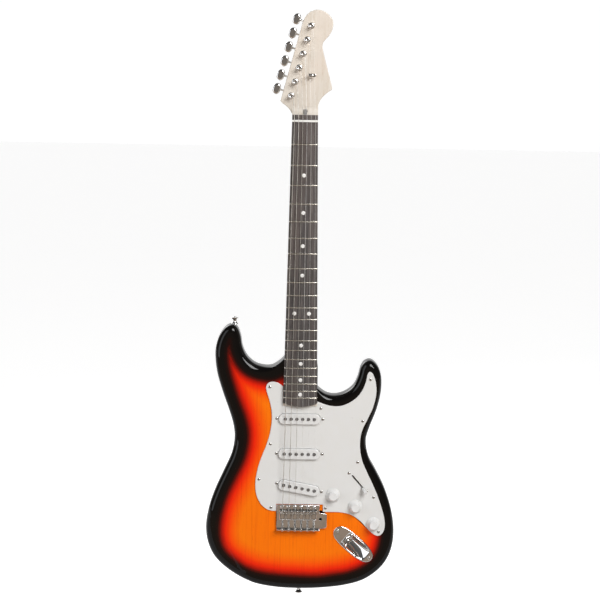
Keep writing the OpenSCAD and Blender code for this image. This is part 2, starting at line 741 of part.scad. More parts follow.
// Leads run along the cavities: from the pickups to the switch, then to the pots and on to the jack
wire_routes = [
    [[10, 10.2, -498], [34.5, 10.2, -500], [34.5, 10.2, -550], [50, 10.2, -602], [70, 18, -604]],
    [[10, 10.2, -558], [31, 10.2, -561], [39, 7.6, -564.5], [48.5, 7.6, -600]],
    [[68, 14, -629], [76, 22, -642], [85, 24, -654], [81, 24, -676]]
];
module wiring() {
    lap = 0.6;
    color([0.85, 0.83, 0.75]) for (route = wire_routes, k = [1 : len(route) - 1]) {
        step = route[k] - route[k - 1];
        rod(route[k - 1], route[k] + step * lap / norm(step), 0.9);
    }
    color([0.75, 0.4, 0.15]) peg([95.2, -638.3], 12, 15, 5);
}

// ---- Tremolo ----
module at_string(s) {
    translate([bridge_x(s), 0, 0]) children();
}
module tremolo_plate() {
    color(chrome) difference() {
        union() {
            slab(plate_top, pivot_y) polygon([
                [-plate_half, rock_axis.y], [plate_half, rock_axis.y], [plate_half, -649], [48, -651],
                [48, -675], [plate_half, -677], [plate_half, plate_rear], [-plate_half, plate_rear]
            ]);
            block([-plate_half + 2, -14, plate_rear], [plate_half - 2, plate_top + 0.1, plate_rear + 2.2]);
            // The plate rocks on its rounded front edge
            rod([-plate_half, rock_axis.x, rock_axis.y], [plate_half, rock_axis.x, rock_axis.y], plate_edge_radius);
        }
        for (k = [0 : 5]) peg([(k - 2.5) * 10.8, pivot_z], -7, 0, 2.1);
        for (s = [1 : 6]) peg([bridge_x(s), block_z], -7, 0, 2.3);
        for (s = [1 : 6]) at_string(s) rod([0, -10, plate_rear - 1], [0, -10, plate_rear + 4], 1.35);
        for (x = [-24, 0, 24]) {
            peg([x, block_z + 5.2], -7, 0, 1.3);
            peg([x, block_z + 5.2], -7, plate_top + 1.1, 2.1);
        }
        peg(arm_hole, -7, 0, arm_thread / 2);
    }
}
module tremolo_block() {
    color(steel) difference() {
        block([-35, pivot_y, block_z - 6], [43.5, block_depth, block_z + 7.5]);
        for (s = [1 : 6]) peg([bridge_x(s), block_z], pivot_y - 1, block_depth + 1, 2);
        for (x = [-24, 0, 24]) peg([x, block_z + 5.2], pivot_y - 1, 10, 1.2);
        for (x = spring_places) rod([x, block_depth - 4, block_z], [x, block_depth - 4, block_z + 9], 1.5);
        peg(arm_hole, pivot_y - 1, 20, arm_thread / 2);
    }
}
module block_screws() {
    color(steel) for (x = [-24, 0, 24]) {
        peg([x, block_z + 5.2], plate_top + 0.1, plate_top + 1.1, 2);
        peg([x, block_z + 5.2], plate_top + 1, 9, 1.15);
    }
}
module tremolo_pivot_screws() {
    color(chrome) for (k = [0 : 5]) {
        peg([(k - 2.5) * 10.8, pivot_z], -8.5, -6.5, 3.3);
        peg([(k - 2.5) * 10.8, pivot_z], -6.6, 17, 1.55);
    }
}
module saddle(s) {
    top = saddle_top + crown_drop(bridge_x(s));
    front = saddle_z + 2.5;
    rear = front - saddle_length;
    half = bridge_pitch / 2 - 0.16;
    color(chrome) at_string(s) {
        difference() {
            union() {
                block([-half, top, rear], [half, top + 1.8, front]);
                block([-half, top, rear], [half, -7.4, rear + 2]);
            }
            block([-1.3, -20, rear + 2.6], [1.3, -9, front - 2.6]);
            rod([0, -10, rear - 1], [0, -10, rear + 3], 1.5);
            for (x = [-3.3, 3.3]) peg([x, front - 2.6], -20, 0, 1.2);
        }
        for (x = [-3.3, 3.3]) peg([x, front - 2.6], saddle_top - 1.5, plate_top - 0.1, 1.15);
    }
}
module saddle_1() { saddle(1); }
module saddle_2() { saddle(2); }
module saddle_3() { saddle(3); }
module saddle_4() { saddle(4); }
module saddle_5() { saddle(5); }
module saddle_6() { saddle(6); }
module intonation_screws() {
    color(steel) for (s = [1 : 6]) at_string(s) {
        rod([0, -10, plate_rear - 1.6], [0, -10, plate_rear], 2.4);
        rod([0, -10, plate_rear - 0.1], [0, -10, saddle_z - 7.5], 1.15);
    }
}
module intonation_springs() {
    color(steel) for (s = [1 : 6]) at_string(s) difference() {
        rod([0, -10, plate_rear + 2.3], [0, -10, saddle_z + 2.4 - saddle_length], 2.1);
        rod([0, -10, plate_rear + 1], [0, -10, saddle_z + 4 - saddle_length], 1.5);
    }
}
spring_places = [-20, 0, 20];
claw_z = -570;
module spring_claw() {
    color(steel) difference() {
        union() {
            block([-27, 31, claw_z + 4], [27, 42, claw_z + 6]);
            for (x = spring_places) block([x - 2.5, 33, claw_z - 3], [x + 2.5, 34.6, claw_z + 4.1]);
        }
        for (x = [-16, 16]) rod([x, 36.9, claw_z], [x, 36.9, claw_z + 10], 2);
    }
}
module claw_screws() {
    color(steel) for (x = [-16, 16]) {
        rod([x, 37, -552], [x, 33, -520], 1.75);
        rod([x, 37, -552], [x, 36.9, claw_z + 1], 1.75);
        rod([x, 36.9, claw_z + 1], [x, 36.9, claw_z - 1], 2.7);
    }
}
module tremolo_springs() {
    color(steel) for (x = spring_places) {
        difference() {
            rod([x, block_depth - 4, block_z + 14], [x, block_depth - 4, claw_z - 7], 4);
            rod([x, block_depth - 4, block_z + 13], [x, block_depth - 4, claw_z - 6], 3);
        }
    }
}

module tuner_key_1() { tuner_key(1); }
module tuner_key_2() { tuner_key(2); }
module tuner_key_3() { tuner_key(3); }
module tuner_key_4() { tuner_key(4); }
module tuner_key_5() { tuner_key(5); }
module tuner_key_6() { tuner_key(6); }
module tuner_post_1() { tuner_post(1); }
module tuner_post_2() { tuner_post(2); }
module tuner_post_3() { tuner_post(3); }
module tuner_post_4() { tuner_post(4); }
module tuner_post_5() { tuner_post(5); }
module tuner_post_6() { tuner_post(6); }

body();
neck();
fretboard();
frets();
fret_markers();
nut();
truss_rod();
pickguard();
plate_screws();
neck_plate();
neck_screws();
strap_buttons();
strap_button_screws();
jack_plate();
output_jack();
back_cover();
spring_claw();
claw_screws();
tremolo_springs();
tremolo_pivot_screws();
pickup_covers();
pickup_coils();
pickup_poles();
machine_screws();
pickup_springs();
switch_frame();
switch_lever();
pot_cases();
wiring();
volume_knob();
tone_knob_1();
tone_knob_2();
tuner_housings();
tuner_bushings();
tuner_screws();
tuner_key_1();
tuner_key_2();
tuner_key_3();
tuner_key_4();
tuner_key_5();
tuner_key_6();
tuner_post_1();
tuner_post_2();
tuner_post_3();
tuner_post_4();
tuner_post_5();
tuner_post_6();
string_tree();
strings();
tremolo_plate();
tremolo_block();
block_screws();
saddle_1();
saddle_2();
saddle_3();
saddle_4();
saddle_5();
saddle_6();
intonation_screws();
intonation_springs();
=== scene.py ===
"""Electric guitar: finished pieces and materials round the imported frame. Lengths below are millimetres."""

import math

import bmesh
import bpy
import numpy as np
from mathutils import Matrix, Vector
from mathutils.geometry import delaunay_2d_cdt, tessellate_polygon


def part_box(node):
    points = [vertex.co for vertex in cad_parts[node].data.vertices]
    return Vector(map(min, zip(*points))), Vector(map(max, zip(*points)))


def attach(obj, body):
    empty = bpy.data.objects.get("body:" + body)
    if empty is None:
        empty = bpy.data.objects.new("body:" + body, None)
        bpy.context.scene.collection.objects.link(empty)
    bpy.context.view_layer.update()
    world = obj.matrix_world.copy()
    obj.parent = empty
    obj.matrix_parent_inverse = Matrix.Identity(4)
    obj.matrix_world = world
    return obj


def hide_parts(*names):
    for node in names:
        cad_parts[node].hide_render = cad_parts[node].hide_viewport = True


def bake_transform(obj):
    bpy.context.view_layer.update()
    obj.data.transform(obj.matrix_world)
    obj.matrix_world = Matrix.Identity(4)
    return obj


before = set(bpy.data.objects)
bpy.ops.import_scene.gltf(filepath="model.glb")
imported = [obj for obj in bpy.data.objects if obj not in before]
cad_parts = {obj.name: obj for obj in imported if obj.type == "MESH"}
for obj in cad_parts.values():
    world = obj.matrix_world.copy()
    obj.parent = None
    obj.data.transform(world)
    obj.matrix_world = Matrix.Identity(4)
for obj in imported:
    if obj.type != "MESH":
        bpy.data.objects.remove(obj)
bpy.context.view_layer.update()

MM = 0.001
FACE, ROOT = Vector((0, -1, 0)), "guitar"


def low(node):
    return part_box(node)[0] / MM


def high(node):
    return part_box(node)[1] / MM


def middle(node):
    return (low(node) + high(node)) / 2


# ---- Driving dimensions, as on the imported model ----
SCALE = 647.7
BOARD_TOP, BOARD_UNDER = low("fretboard").y, high("fretboard").y
BOARD_START, BOARD_END = high("fretboard").z, low("fretboard").z
NUT_HALF, HEEL_HALF, BOARD_RADIUS, END_RADIUS = 21.2, 28.3, 241, 70
FRETS, FRET_WIDTH, FRET_HEIGHT = 21, 2.4, 1.1
NUT_LENGTH = high("nut").z
THICK = low("neck_plate").y
HEAD_FRONT, HEAD_BACK = 1.5, high("neck").y
GUARD_FRONT = low("pickguard").y
LEAN, POST_PITCH, KEY_DEPTH, KEY_OFFSET = math.radians(15.2), 23.5, 21.5, 4.5
GAUGES = [0.23, 0.28, 0.41, 0.66, 0.91, 1.17]
NUT_PITCH, BRIDGE_PITCH = 6.85, 10.5
SADDLE_Z, BLOCK_Z, PIVOT_Z, PIVOT_Y = -649.2, -659, -640, high("tremolo_plate").y
SADDLE_TOP, PLATE_TOP, PLATE_REAR = -13.2, -5.2, low("tremolo_plate").z
PICKUPS = [((0, -491.5), 0, 9.6), ((0, -550.5), 0, 10), ((0.5, -607.8), -10, 10.4)]
PICKUP_TOPS = [-7.2, -7.8, -8.6]
KNOBS = ["volume_knob", "tone_knob_1", "tone_knob_2"]
SWITCH, SLOT_TURN, SWITCH_TURN, LEVER_REST = (98.6, -596.9), -49, -45, 32
JACK_START, JACK_TURN, JACK_TILT = (62.7, -677.5), -40.6, 40
GUARD_SCREWS = [
    (-50.8, -438.5), (34.6, -473.3), (116.1, -423.4), (104.5, -493.5), (97.6, -563.3), (125.3, -622.4),
    (134.8, -681.3), (45.3, -642.3), (-45.9, -642.5), (-66.7, -595.1), (-48.4, -534.7),
]
COVER_SCREWS = [(x, z) for z in (-548, -618, -688) for x in (-40, 40)]
NECK_SCREWS = [(x, z) for z in (-406.5, -456.5) for x in (-19, 19)]


# ---- Curves ----
def spline_point(a, b, c, d, t):
    return tuple(
        0.5 * (2 * q + (r - p) * t + (2 * p - 5 * q + 4 * r - s) * t * t + (3 * q - p - 3 * r + s) * t ** 3)
        for p, q, r, s in zip(a, b, c, d)
    )


def open_curve(p, steps=6):
    last = len(p) - 1
    points = [
        spline_point(p[max(i - 1, 0)], p[i], p[i + 1], p[min(i + 2, last)], k / steps)
        for i in range(last) for k in range(steps)
    ]
    return points + [tuple(p[last])]


def closed_curve(p, steps=6):
    n = len(p)
    return [
        spline_point(p[i - 1], p[i], p[(i + 1) % n], p[(i + 2) % n], k / steps)
        for i in range(n) for k in range(steps)
    ]


def around(n):
    return [math.tau * k / n for k in range(n)]


def quarter(steps):
    return [math.pi / 2 * k / steps for k in range(steps + 1)]


def polar(r, degrees):
    return r * math.cos(math.radians(degrees)), r * math.sin(math.radians(degrees))


def circle(centre, r, n=24):
    return [(centre[0] + r * math.cos(a), centre[1] + r * math.sin(a)) for a in around(n)]


def stadium(a, b, r, n=10):
    turn = math.atan2(b[1] - a[1], b[0] - a[0])
    ends = [(b, turn - math.pi / 2), (a, turn + math.pi / 2)]
    return [(c[0] + r * math.cos(t + math.pi * k / n), c[1] + r * math.sin(t + math.pi * k / n))
            for c, t in ends for k in range(n + 1)]


def bar(place, length, width, degrees):
    dx, dz = polar((length - width) / 2, degrees)
    return stadium((place[0] - dx, place[1] - dz), (place[0] + dx, place[1] + dz), width / 2)


def round_rect(x0, z0, x1, z1, r, n=5):
    corners = [(x1 - r, z1 - r), (x0 + r, z1 - r), (x0 + r, z0 + r), (x1 - r, z0 + r)]
    return [(x + dx, z + dz) for i, (x, z) in enumerate(corners)
            for dx, dz in [polar(r, 90 * i + 90 * k / n) for k in range(n + 1)]]


def area(loop):
    return sum(a[0] * b[1] - b[0] * a[1] for a, b in zip(loop, loop[1:] + loop[:1])) / 2


def inset(loop, distance):
    """The loop moved to its left, so inwards if it runs anticlockwise, by one distance or one per point."""
    p = np.array(loop, float)
    d = np.broadcast_to(np.asarray(distance, float), len(p))
    before, after = p - np.roll(p, 1, 0), np.roll(p, -1, 0) - p
    before /= np.maximum(np.linalg.norm(before, axis=1, keepdims=True), 1e-9)
    after /= np.maximum(np.linalg.norm(after, axis=1, keepdims=True), 1e-9)
    n1, n2 = np.stack([-before[:, 1], before[:, 0]], 1), np.stack([-after[:, 1], after[:, 0]], 1)
    mitre = (n1 + n2) / np.maximum(1 + (n1 * n2).sum(1, keepdims=True), 0.3)
    return [tuple(q) for q in p + mitre * d[:, None]]


def squarish(c, power):
    """A sine or cosine bent towards its ends, which makes a circle squarer."""
    return math.copysign(abs(c) ** power, c)


def smooth(t):
    t = min(max(t, 0.0), 1.0)
    return t * t * (3 - 2 * t)


# ---- Shapes: each function returns (points, faces) ----
def bridge(rings, closed=True):
    """Faces between rings of n points each, given as one list of points."""
    n = len(rings[0])
    points = [p for ring in rings for p in ring]
    faces = []
    for i in range(len(rings) - 1):
        for k in range(n if closed else n - 1):
            a, b = i * n + k, i * n + (k + 1) % n
            faces.append((a, b, b + n, a + n))
    return points, faces


def loft(rings):
    points, faces = bridge(rings)
    n, total = len(rings[0]), len(points)
    faces.append(tuple(range(n - 1, -1, -1)))
    faces.append(tuple(range(total - n, total)))
    return points, faces


def prism(outline, front, back, edge=0.4, back_edge=0.0, holes=(), steps=3):
    """A plate between two levels of y, with rounded edges, and the holes cut through it."""
    loops = [outline if area(outline) > 0 else outline[::-1]]
    loops += [h if area(h) < 0 else h[::-1] for h in holes]
    profile = [(edge + 0.2, front)] + [(edge * (1 - math.sin(a)), front + edge * (1 - math.cos(a)))
                                       for a in quarter(steps)] if edge else [(0, front)]
    profile += [(back_edge * (1 - math.cos(a)), back - back_edge * (1 - math.sin(a)))
                for a in quarter(steps)] + [(back_edge + 0.2, back)] if back_edge else [(0, back)]
    points, faces, fronts, backs = [], [], [], []
    for number, loop in enumerate(loops):
        limit = 1.0 if number == 0 else 0.5
        rings = [[(x, y, z) for x, z in inset(loop, d * limit)] for d, y in profile]
        p, f = bridge(rings)
        start = len(points)
        points += p
        faces += [tuple(i + start for i in q) for q in f]
        fronts.append(list(range(start, start + len(loop))))
        backs.append(list(range(start + len(p) - len(loop), start + len(p))))
    for cap in (fronts, backs):
        flat = [i for loop in cap for i in loop]
        loops = [[Vector((points[i][0], points[i][2], 0)) for i in loop] for loop in cap]
        faces += [tuple(flat[i] for i in t) for t in tessellate_polygon(loops)]
    return points, faces


def lathe(profile, n=32, flute=0.0, ribs=0, ribbed=()):
    """Profile of (radius, y), turned about the y axis. The rings listed in ribbed are fluted."""
    points, faces, rings = [], [], []
    for i, (r, y) in enumerate(profile):
        if r < 1e-6:
            rings.append([len(points)])
            points.append((0, y, 0))
            continue
        rings.append(list(range(len(points), len(points) + n)))
        for a in around(n):
            reach = r + (flute * math.cos(ribs * a) if i in ribbed else 0)
            points.append((reach * math.cos(a), y, reach * math.sin(a)))
    for a, b in zip(rings, rings[1:]):
        for k in range(n):
            j = (k + 1) % n
            if len(a) == 1 and len(b) > 1:
                faces.append((a[0], b[k], b[j]))
            elif len(b) == 1 and len(a) > 1:
                faces.append((a[k], a[j], b[0]))
            elif len(a) > 1:
                faces.append((a[k], a[j], b[j], b[k]))
    for ring in (rings[0], rings[-1]):
        if len(ring) > 1 and profile[0] != profile[-1]:
            faces.append(tuple(ring))
    return points, faces


def sweep(path, radius, sides=10):
    """A round bar along a path. radius is a number or one per point."""
    path = [Vector(p) for p in path]
    radii = radius if isinstance(radius, (list, tuple)) else [radius] * len(path)
    rings, u = [], None
    for i, p in enumerate(path):
        t = (path[min(i + 1, len(path) - 1)] - path[max(i - 1, 0)]).normalized()
        if u is None:
            u = t.orthogonal()
        u = (u - t * u.dot(t)).normalized()
        v = t.cross(u)
        rings.append([tuple(p + radii[i] * (math.cos(a) * u + math.sin(a) * v)) for a in around(sides)])
    return loft(rings)


def rod(a, b, r, edge=0.0, sides=24):
    a, b = Vector(a), Vector(b)
    t = (b - a).normalized() * edge
    if not edge:
        return sweep([a, b], r, sides)
    return sweep([a, a + t, b - t, b], [r - edge, r, r, r - edge], sides)


def helix(a, b, radius, turns, per_turn=16):
    """Points of a coil from a to b."""
    a, b = Vector(a), Vector(b)
    t = (b - a).normalized()
    u = t.orthogonal().normalized()
    v = t.cross(u)
    count = int(turns * per_turn)
    points = []
    for i in range(count + 1):
        f = i / count
        w = math.tau * turns * f
        points.append(a + (b - a) * f + radius * (math.cos(w) * u + math.sin(w) * v))
    return points


def box(a, b, edge=0.3, steps=2):
    bm = bmesh.new()
    bmesh.ops.create_cube(bm, size=1)
    a, b = Vector(a), Vector(b)
    for v in bm.verts:
        v.co = (a + b) / 2 + Vector([c * s for c, s in zip(v.co, b - a)])
    if edge:
        bmesh.ops.bevel(bm, geom=bm.edges[:], offset=edge, segments=steps, affect="EDGES", profile=0.5)
    points = [tuple(v.co) for v in bm.verts]
    bm.verts.index_update()
    faces = [tuple(v.index for v in f.verts) for f in bm.faces]
    bm.free()
    return points, faces


def moved(shape, matrix):
    return [tuple(matrix @ Vector(p)) for p in shape[0]], shape[1]


def at(x, z, y=0.0, turn=0.0):
    """A place on the guitar's front, turned anticlockwise as seen from the front, in degrees."""
    return Matrix.Translation((x, y, z)) @ Matrix.Rotation(math.radians(-turn), 4, "Y")


def along(point, direction):
    """Turns a shape that faces -Y so that it faces the given direction, at the point."""
    turn = FACE.rotation_difference(Vector(direction).normalized()).to_matrix().to_4x4()
    return Matrix.Translation(point) @ turn


def placed(name, data):
    obj = bpy.data.objects.new(name, data)
    bpy.context.scene.collection.objects.link(obj)
    return obj


def smoothed(mesh, crease):
    mesh.shade_smooth()
    mesh.set_sharp_from_angle(angle=math.radians(crease))
    return mesh


class Part:
    """One visible piece, put together from shapes that may each have a material of their own."""

    def __init__(self):
        self.points, self.faces, self.paint = [], [], []

    def add(self, shape, matrix=None, paint=0):
        points, faces = moved(shape, matrix) if matrix else shape
        start = len(self.points)
        self.points += points
        self.faces += [tuple(i + start for i in f) for f in faces]
        self.paint += [paint] * len(faces)
        return self

    def mesh(self, name, crease=32):
        mesh = bpy.data.meshes.new(name)
        mesh.from_pydata([(x * MM, y * MM, z * MM) for x, y, z in self.points], [], self.faces)
        mesh.polygons.foreach_set("material_index", self.paint)
        bm = bmesh.new()
        bm.from_mesh(mesh)
        bmesh.ops.dissolve_degenerate(bm, dist=1e-7, edges=bm.edges)
        bmesh.ops.recalc_face_normals(bm, faces=bm.faces)
        bm.to_mesh(mesh)
        bm.free()
        return smoothed(mesh, crease)

    def thing(self, name, crease=32):
        return placed(name, self.mesh(name, crease))


def show(part, name, body, nodes, materials, crease=32):
    """Makes the piece, lets it ride on its body and stand for its CAD nodes."""
    obj = part.thing(name, crease) if isinstance(part, Part) else part
    for m in materials:
        obj.data.materials.append(m)
    if body:
        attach(obj, body)
    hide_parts(*nodes)
    return obj


def applied(obj, crease=32):
    """The object with its modifiers worked into its mesh."""
    bpy.context.view_layer.update()
    mesh = bpy.data.meshes.new_from_object(obj.evaluated_get(bpy.context.evaluated_depsgraph_get()))
    obj.modifiers.clear()
    obj.data = smoothed(mesh, crease)
    return obj


def carved(part, cutter, name):
    """The part with the cutter's volume taken out, as an object."""
    obj, tool = part.thing(name), cutter.thing(name + "_cutter")
    cut = obj.modifiers.new("cut", "BOOLEAN")
    cut.object, cut.solver, cut.use_self = tool, "EXACT", True
    applied(obj)
    bpy.data.objects.remove(tool)
    return obj


def as_shape(obj):
    """An object's mesh as a shape in millimetres, and the object is removed."""
    shape = [tuple(v.co / MM) for v in obj.data.vertices], [tuple(p.vertices) for p in obj.data.polygons]
    bpy.data.objects.remove(obj)
    return shape


# ---- Materials ----
class Paint:
    """A node material: colour, roughness and bump come from patterns in the piece's own coordinates."""

    def __init__(self, name, colour=(0.8, 0.8, 0.8), **sockets):
        self.material = bpy.data.materials.new(name)
        self.material.use_nodes = True
        self.nodes, self.links = self.material.node_tree.nodes, self.material.node_tree.links
        self.shader = self.nodes["Principled BSDF"]
        self.shader.inputs["Base Color"].default_value = (*colour, 1)
        for key, value in sockets.items():
            self.shader.inputs[key.replace("_", " ")].default_value = value
        self.material.diffuse_color = (*colour, 1)
        self.coords = self.nodes.new("ShaderNodeTexCoord").outputs["Object"]

    def node(self, kind, **values):
        node = self.nodes.new("ShaderNode" + kind)
        for key, value in values.items():
            setattr(node, key, value)
        return node

    def plug(self, source, socket):
        self.links.new(source, self.shader.inputs[socket])
        return self

    def noise(self, scale, detail=4.0, rough=0.55, warp=0.0):
        """Noise with a scale for each axis, in cells per metre."""
        mapping = self.node("Mapping")
        self.links.new(self.coords, mapping.inputs["Vector"])
        mapping.inputs["Scale"].default_value = scale
        node = self.node("TexNoise")
        node.inputs["Scale"].default_value = 1
        node.inputs["Detail"].default_value = detail
        node.inputs["Roughness"].default_value = rough
        node.inputs["Distortion"].default_value = warp
        self.links.new(mapping.outputs["Vector"], node.inputs["Vector"])
        return node.outputs["Fac"]

    def ramp(self, factor, stops):
        node = self.node("ValToRGB")
        elements = node.color_ramp.elements
        for place, value in stops[2:]:
            elements.new(place)
        for element, (place, value) in zip(sorted(elements, key=lambda e: e.position), stops):
            element.position = place
        for element, (place, value) in zip(elements, stops):
            element.position = place
            element.color = (*value, 1) if isinstance(value, tuple) else (value, value, value, 1)
        self.links.new(factor, node.inputs["Fac"])
        return node.outputs["Color"]

    def mix(self, kind, factor, a, b):
        node = self.node("Mix", data_type="RGBA", blend_type=kind)
        for socket, value in ((0, factor), (6, a), (7, b)):
            if isinstance(value, bpy.types.NodeSocket):
                self.links.new(value, node.inputs[socket])
            else:
                node.inputs[socket].default_value = value if socket == 0 else (*value, 1)
        return node.outputs[2]

    def math(self, kind, a, b):
        node = self.node("Math", operation=kind)
        for i, value in enumerate((a, b)):
            if isinstance(value, bpy.types.NodeSocket):
                self.links.new(value, node.inputs[i])
            else:
                node.inputs[i].default_value = value
        return node.outputs[0]

    def range(self, factor, a, b):
        node = self.node("MapRange")
        self.links.new(factor, node.inputs["Value"])
        node.inputs["To Min"].default_value, node.inputs["To Max"].default_value = a, b
        return node.outputs["Result"]

    def bump(self, height, depth, strength=1.0):
        """depth is the height of the relief in millimetres."""
        node = self.node("Bump")
        node.inputs["Strength"].default_value = strength
        node.inputs["Distance"].default_value = depth * MM
        self.links.new(height, node.inputs["Height"])
        return self.plug(node.outputs["Normal"], "Normal")


BURST_REACH = 60  # millimetres from the edge over which the sunburst's colours run


def burst_lacquer():
    p = Paint("burst_lacquer", (0.95, 0.2, 0.01), Coat_Weight=0.62, Coat_Roughness=0.04,
              Specular_IOR_Level=0.0)
    edge = p.node("Attribute", attribute_name="edge").outputs["Fac"]
    drift = p.range(p.noise((14, 14, 9), 2), -0.05, 0.05)
    cloud = p.noise((30, 30, 12), 3)
    place = p.math("ADD", edge, drift)
    burst = p.ramp(place, [
        (0.24, (0.0025, 0.002, 0.0018)), (0.33, (0.012, 0.001, 0.0006)), (0.39, (0.1, 0.0025, 0.0005)),
        (0.46, (0.42, 0.006, 0.0005)), (0.56, (0.86, 0.018, 0.0005)), (0.7, (0.97, 0.06, 0.0005)),
        (0.86, (0.97, 0.12, 0.0005)), (1.0, (0.97, 0.165, 0.0005)),
    ])
    patches = p.math("MULTIPLY", p.ramp(place, [(0.62, 0.0), (1.0, 0.55)]), cloud)
    honey = p.mix("MIX", patches, burst, (0.98, 0.235, 0.001))
    grain = p.noise((330, 330, 7), 6, 0.6, 0.2)
    lines = p.ramp(grain, [(0.36, (0.86, 0.7, 0.6)), (0.5, (1, 1, 1)), (0.72, (1, 1.0, 1))])
    pores = p.ramp(p.noise((1100, 1100, 45), 2, 0.7), [(0.3, (0.72, 0.5, 0.4)), (0.36, (1, 1, 1))])
    wood = p.mix("MULTIPLY", 0.75, p.mix("MULTIPLY", 0.55, honey, lines), pores)
    p.plug(wood, "Base Color").plug(p.range(p.noise((60, 60, 60), 3), 0.18, 0.34), "Roughness")
    return p.bump(p.noise((240, 240, 240), 2), 0.012).material


def maple():
    tint = (0.71, 0.655, 0.58)
    p = Paint("maple", tint, Coat_Weight=0.35, Coat_Roughness=0.22)
    light, dark = tuple(c * 1.04 for c in tint), (tint[0] * 0.92, tint[1] * 0.88, tint[2] * 0.83)
    grain = p.noise((210, 210, 9), 6, 0.6, 0.5)
    rings = p.ramp(grain, [(0.32, dark), (0.5, tint), (0.7, light)])
    patches = p.ramp(p.noise((16, 16, 7), 2), [(0.45, 0.0), (0.7, 0.45)])
    blush = p.mix("MIX", patches, rings, (0.76, 0.62, 0.51))
    flecks = p.ramp(p.noise((900, 900, 120), 2), [(0.3, (0.84, 0.77, 0.68)), (0.37, (1, 1, 1))])
    p.plug(p.mix("MULTIPLY", 0.6, blush, flecks), "Base Color").plug(p.range(grain, 0.34, 0.5), "Roughness")
    return p.bump(grain, 0.03).material


def rosewood():
    p = Paint("rosewood", (0.06, 0.04, 0.03), Specular_IOR_Level=0.6)
    grain = p.noise((300, 300, 11), 7, 0.65, 0.8)
    tone = p.ramp(grain, [(0.3, (0.022, 0.02, 0.02)), (0.5, (0.075, 0.067, 0.066)), (0.68, (0.16, 0.14, 0.13))])
    bands = p.ramp(p.noise((38, 38, 3), 2), [(0.42, 0.0), (0.7, 0.5)])
    streaks = p.mix("MIX", bands, tone, (0.11, 0.075, 0.062))
    pores = p.ramp(p.noise((1500, 1500, 70), 2, 0.7), [(0.33, (0.3, 0.3, 0.3)), (0.4, (1, 1, 1))])
    p.plug(p.mix("MULTIPLY", 0.8, streaks, pores), "Base Color").plug(p.range(grain, 0.32, 0.55), "Roughness")
    return p.bump(pores, 0.05).material


def metal(name, colour, roughness, wear=0.05, brush=(300, 300, 300), depth=0.002):
    p = Paint(name, colour, Metallic=1.0)
    spots = p.noise((90, 90, 90), 4)
    tarnish = tuple(c * 0.8 for c in colour)
    p.plug(p.mix("MIX", p.ramp(spots, [(0.45, 0.0), (0.75, 0.6)]), colour, tarnish), "Base Color")
    p.plug(p.range(p.noise(brush, 5, 0.6), roughness, roughness + wear), "Roughness")
    return p.bump(p.noise(brush, 4), depth).material


def plastic(name, colour, roughness, depth=0.01, coat=0.0, speck=0.04):
    p = Paint(name, colour, Coat_Weight=coat, Coat_Roughness=0.08)
    cloud = p.noise((45, 45, 45), 5)
    worn = tuple(c * (1 - speck) * w for c, w in zip(colour, (1, 0.995, 0.98)))
    p.plug(p.mix("MIX", p.ramp(cloud, [(0.35, 0.0), (0.7, 1.0)]), colour, worn), "Base Color")
    p.plug(p.range(p.noise((130, 130, 130), 4), roughness, roughness + 0.12), "Roughness")
    return p.bump(p.noise((700, 700, 700), 3), depth).material


def wound_steel(name, colour, pitch):
    """String steel whose winding shows as fine rings along the string, with painted shade darkening the grooves
    between the turns.
    """
    p = Paint(name, colour, Metallic=1.0)
    wave = p.node("TexWave", wave_type="BANDS", bands_direction="Z", wave_profile="SIN")
    wave.inputs["Scale"].default_value = math.tau / 20 / (pitch * MM)
    p.links.new(p.coords, wave.inputs["Vector"])
    # painted shade: the colour drops to 0.62 of its brightness in the grooves between the winding's turns,
    # following the bump's valleys
    groove_shade_colour = tuple(c * 0.62 for c in colour)
    p.plug(p.mix("MIX", wave.outputs["Fac"], groove_shade_colour, colour), "Base Color")
    p.plug(p.range(p.noise((500, 500, 60), 3), 0.25, 0.42), "Roughness")
    return p.bump(wave.outputs["Fac"], 0.06).material


def pearl():
    p = Paint("pearl", (0.88, 0.88, 0.85), Coat_Weight=0.6, Coat_Roughness=0.06)
    flame = p.noise((420, 420, 420), 3, 0.5, 2.5)
    tone = p.ramp(flame, [(0.3, (0.72, 0.75, 0.76)), (0.5, (0.9, 0.9, 0.87)), (0.7, (0.95, 0.9, 0.88))])
    p.plug(tone, "Base Color").plug(p.range(flame, 0.15, 0.35), "Roughness")
    return p.bump(flame, 0.004).material


BURST, MAPLE, ROSEWOOD, PEARL = burst_lacquer(), maple(), rosewood(), pearl()
BONE = plastic("bone", (0.9, 0.9, 0.87), 0.3, 0.01, 0.3)
GUARD = plastic("guard_plastic", (0.76, 0.76, 0.75), 0.24, 0.0008, 0.4, 0.01)
COVER = plastic("cover_plastic", (0.77, 0.77, 0.765), 0.24, 0.0008, 0.4, 0.01)
KNOB = plastic("knob_plastic", (0.79, 0.79, 0.785), 0.26, 0.001, 0.4, 0.02)
CHROME = metal("chrome", (0.82, 0.81, 0.8), 0.03, 0.05)
NICKEL = metal("nickel_silver", (0.66, 0.63, 0.56), 0.18, 0.14, (900, 60, 60))
SCREW = metal("screw_steel", (0.6, 0.59, 0.57), 0.14, 0.12)
STEEL = metal("steel", (0.5, 0.5, 0.5), 0.28, 0.2, (60, 700, 60), 0.01)
POLE = metal("pole_steel", (0.3, 0.3, 0.31), 0.3, 0.2, (600, 600, 600), 0.01)
STRING = metal("string_steel", (0.86, 0.85, 0.83), 0.32, 0.12, (900, 900, 30))
WOUND = wound_steel("wound_steel", (0.84, 0.81, 0.75), 0.28)
GOLD = metal("gold_print", (0.75, 0.6, 0.3), 0.3, 0.1)
BLACK = plastic("black_fibre", (0.02, 0.02, 0.022), 0.5, 0.05)
CLOTH = plastic("wire_cloth", (0.72, 0.69, 0.58), 0.7, 0.12)


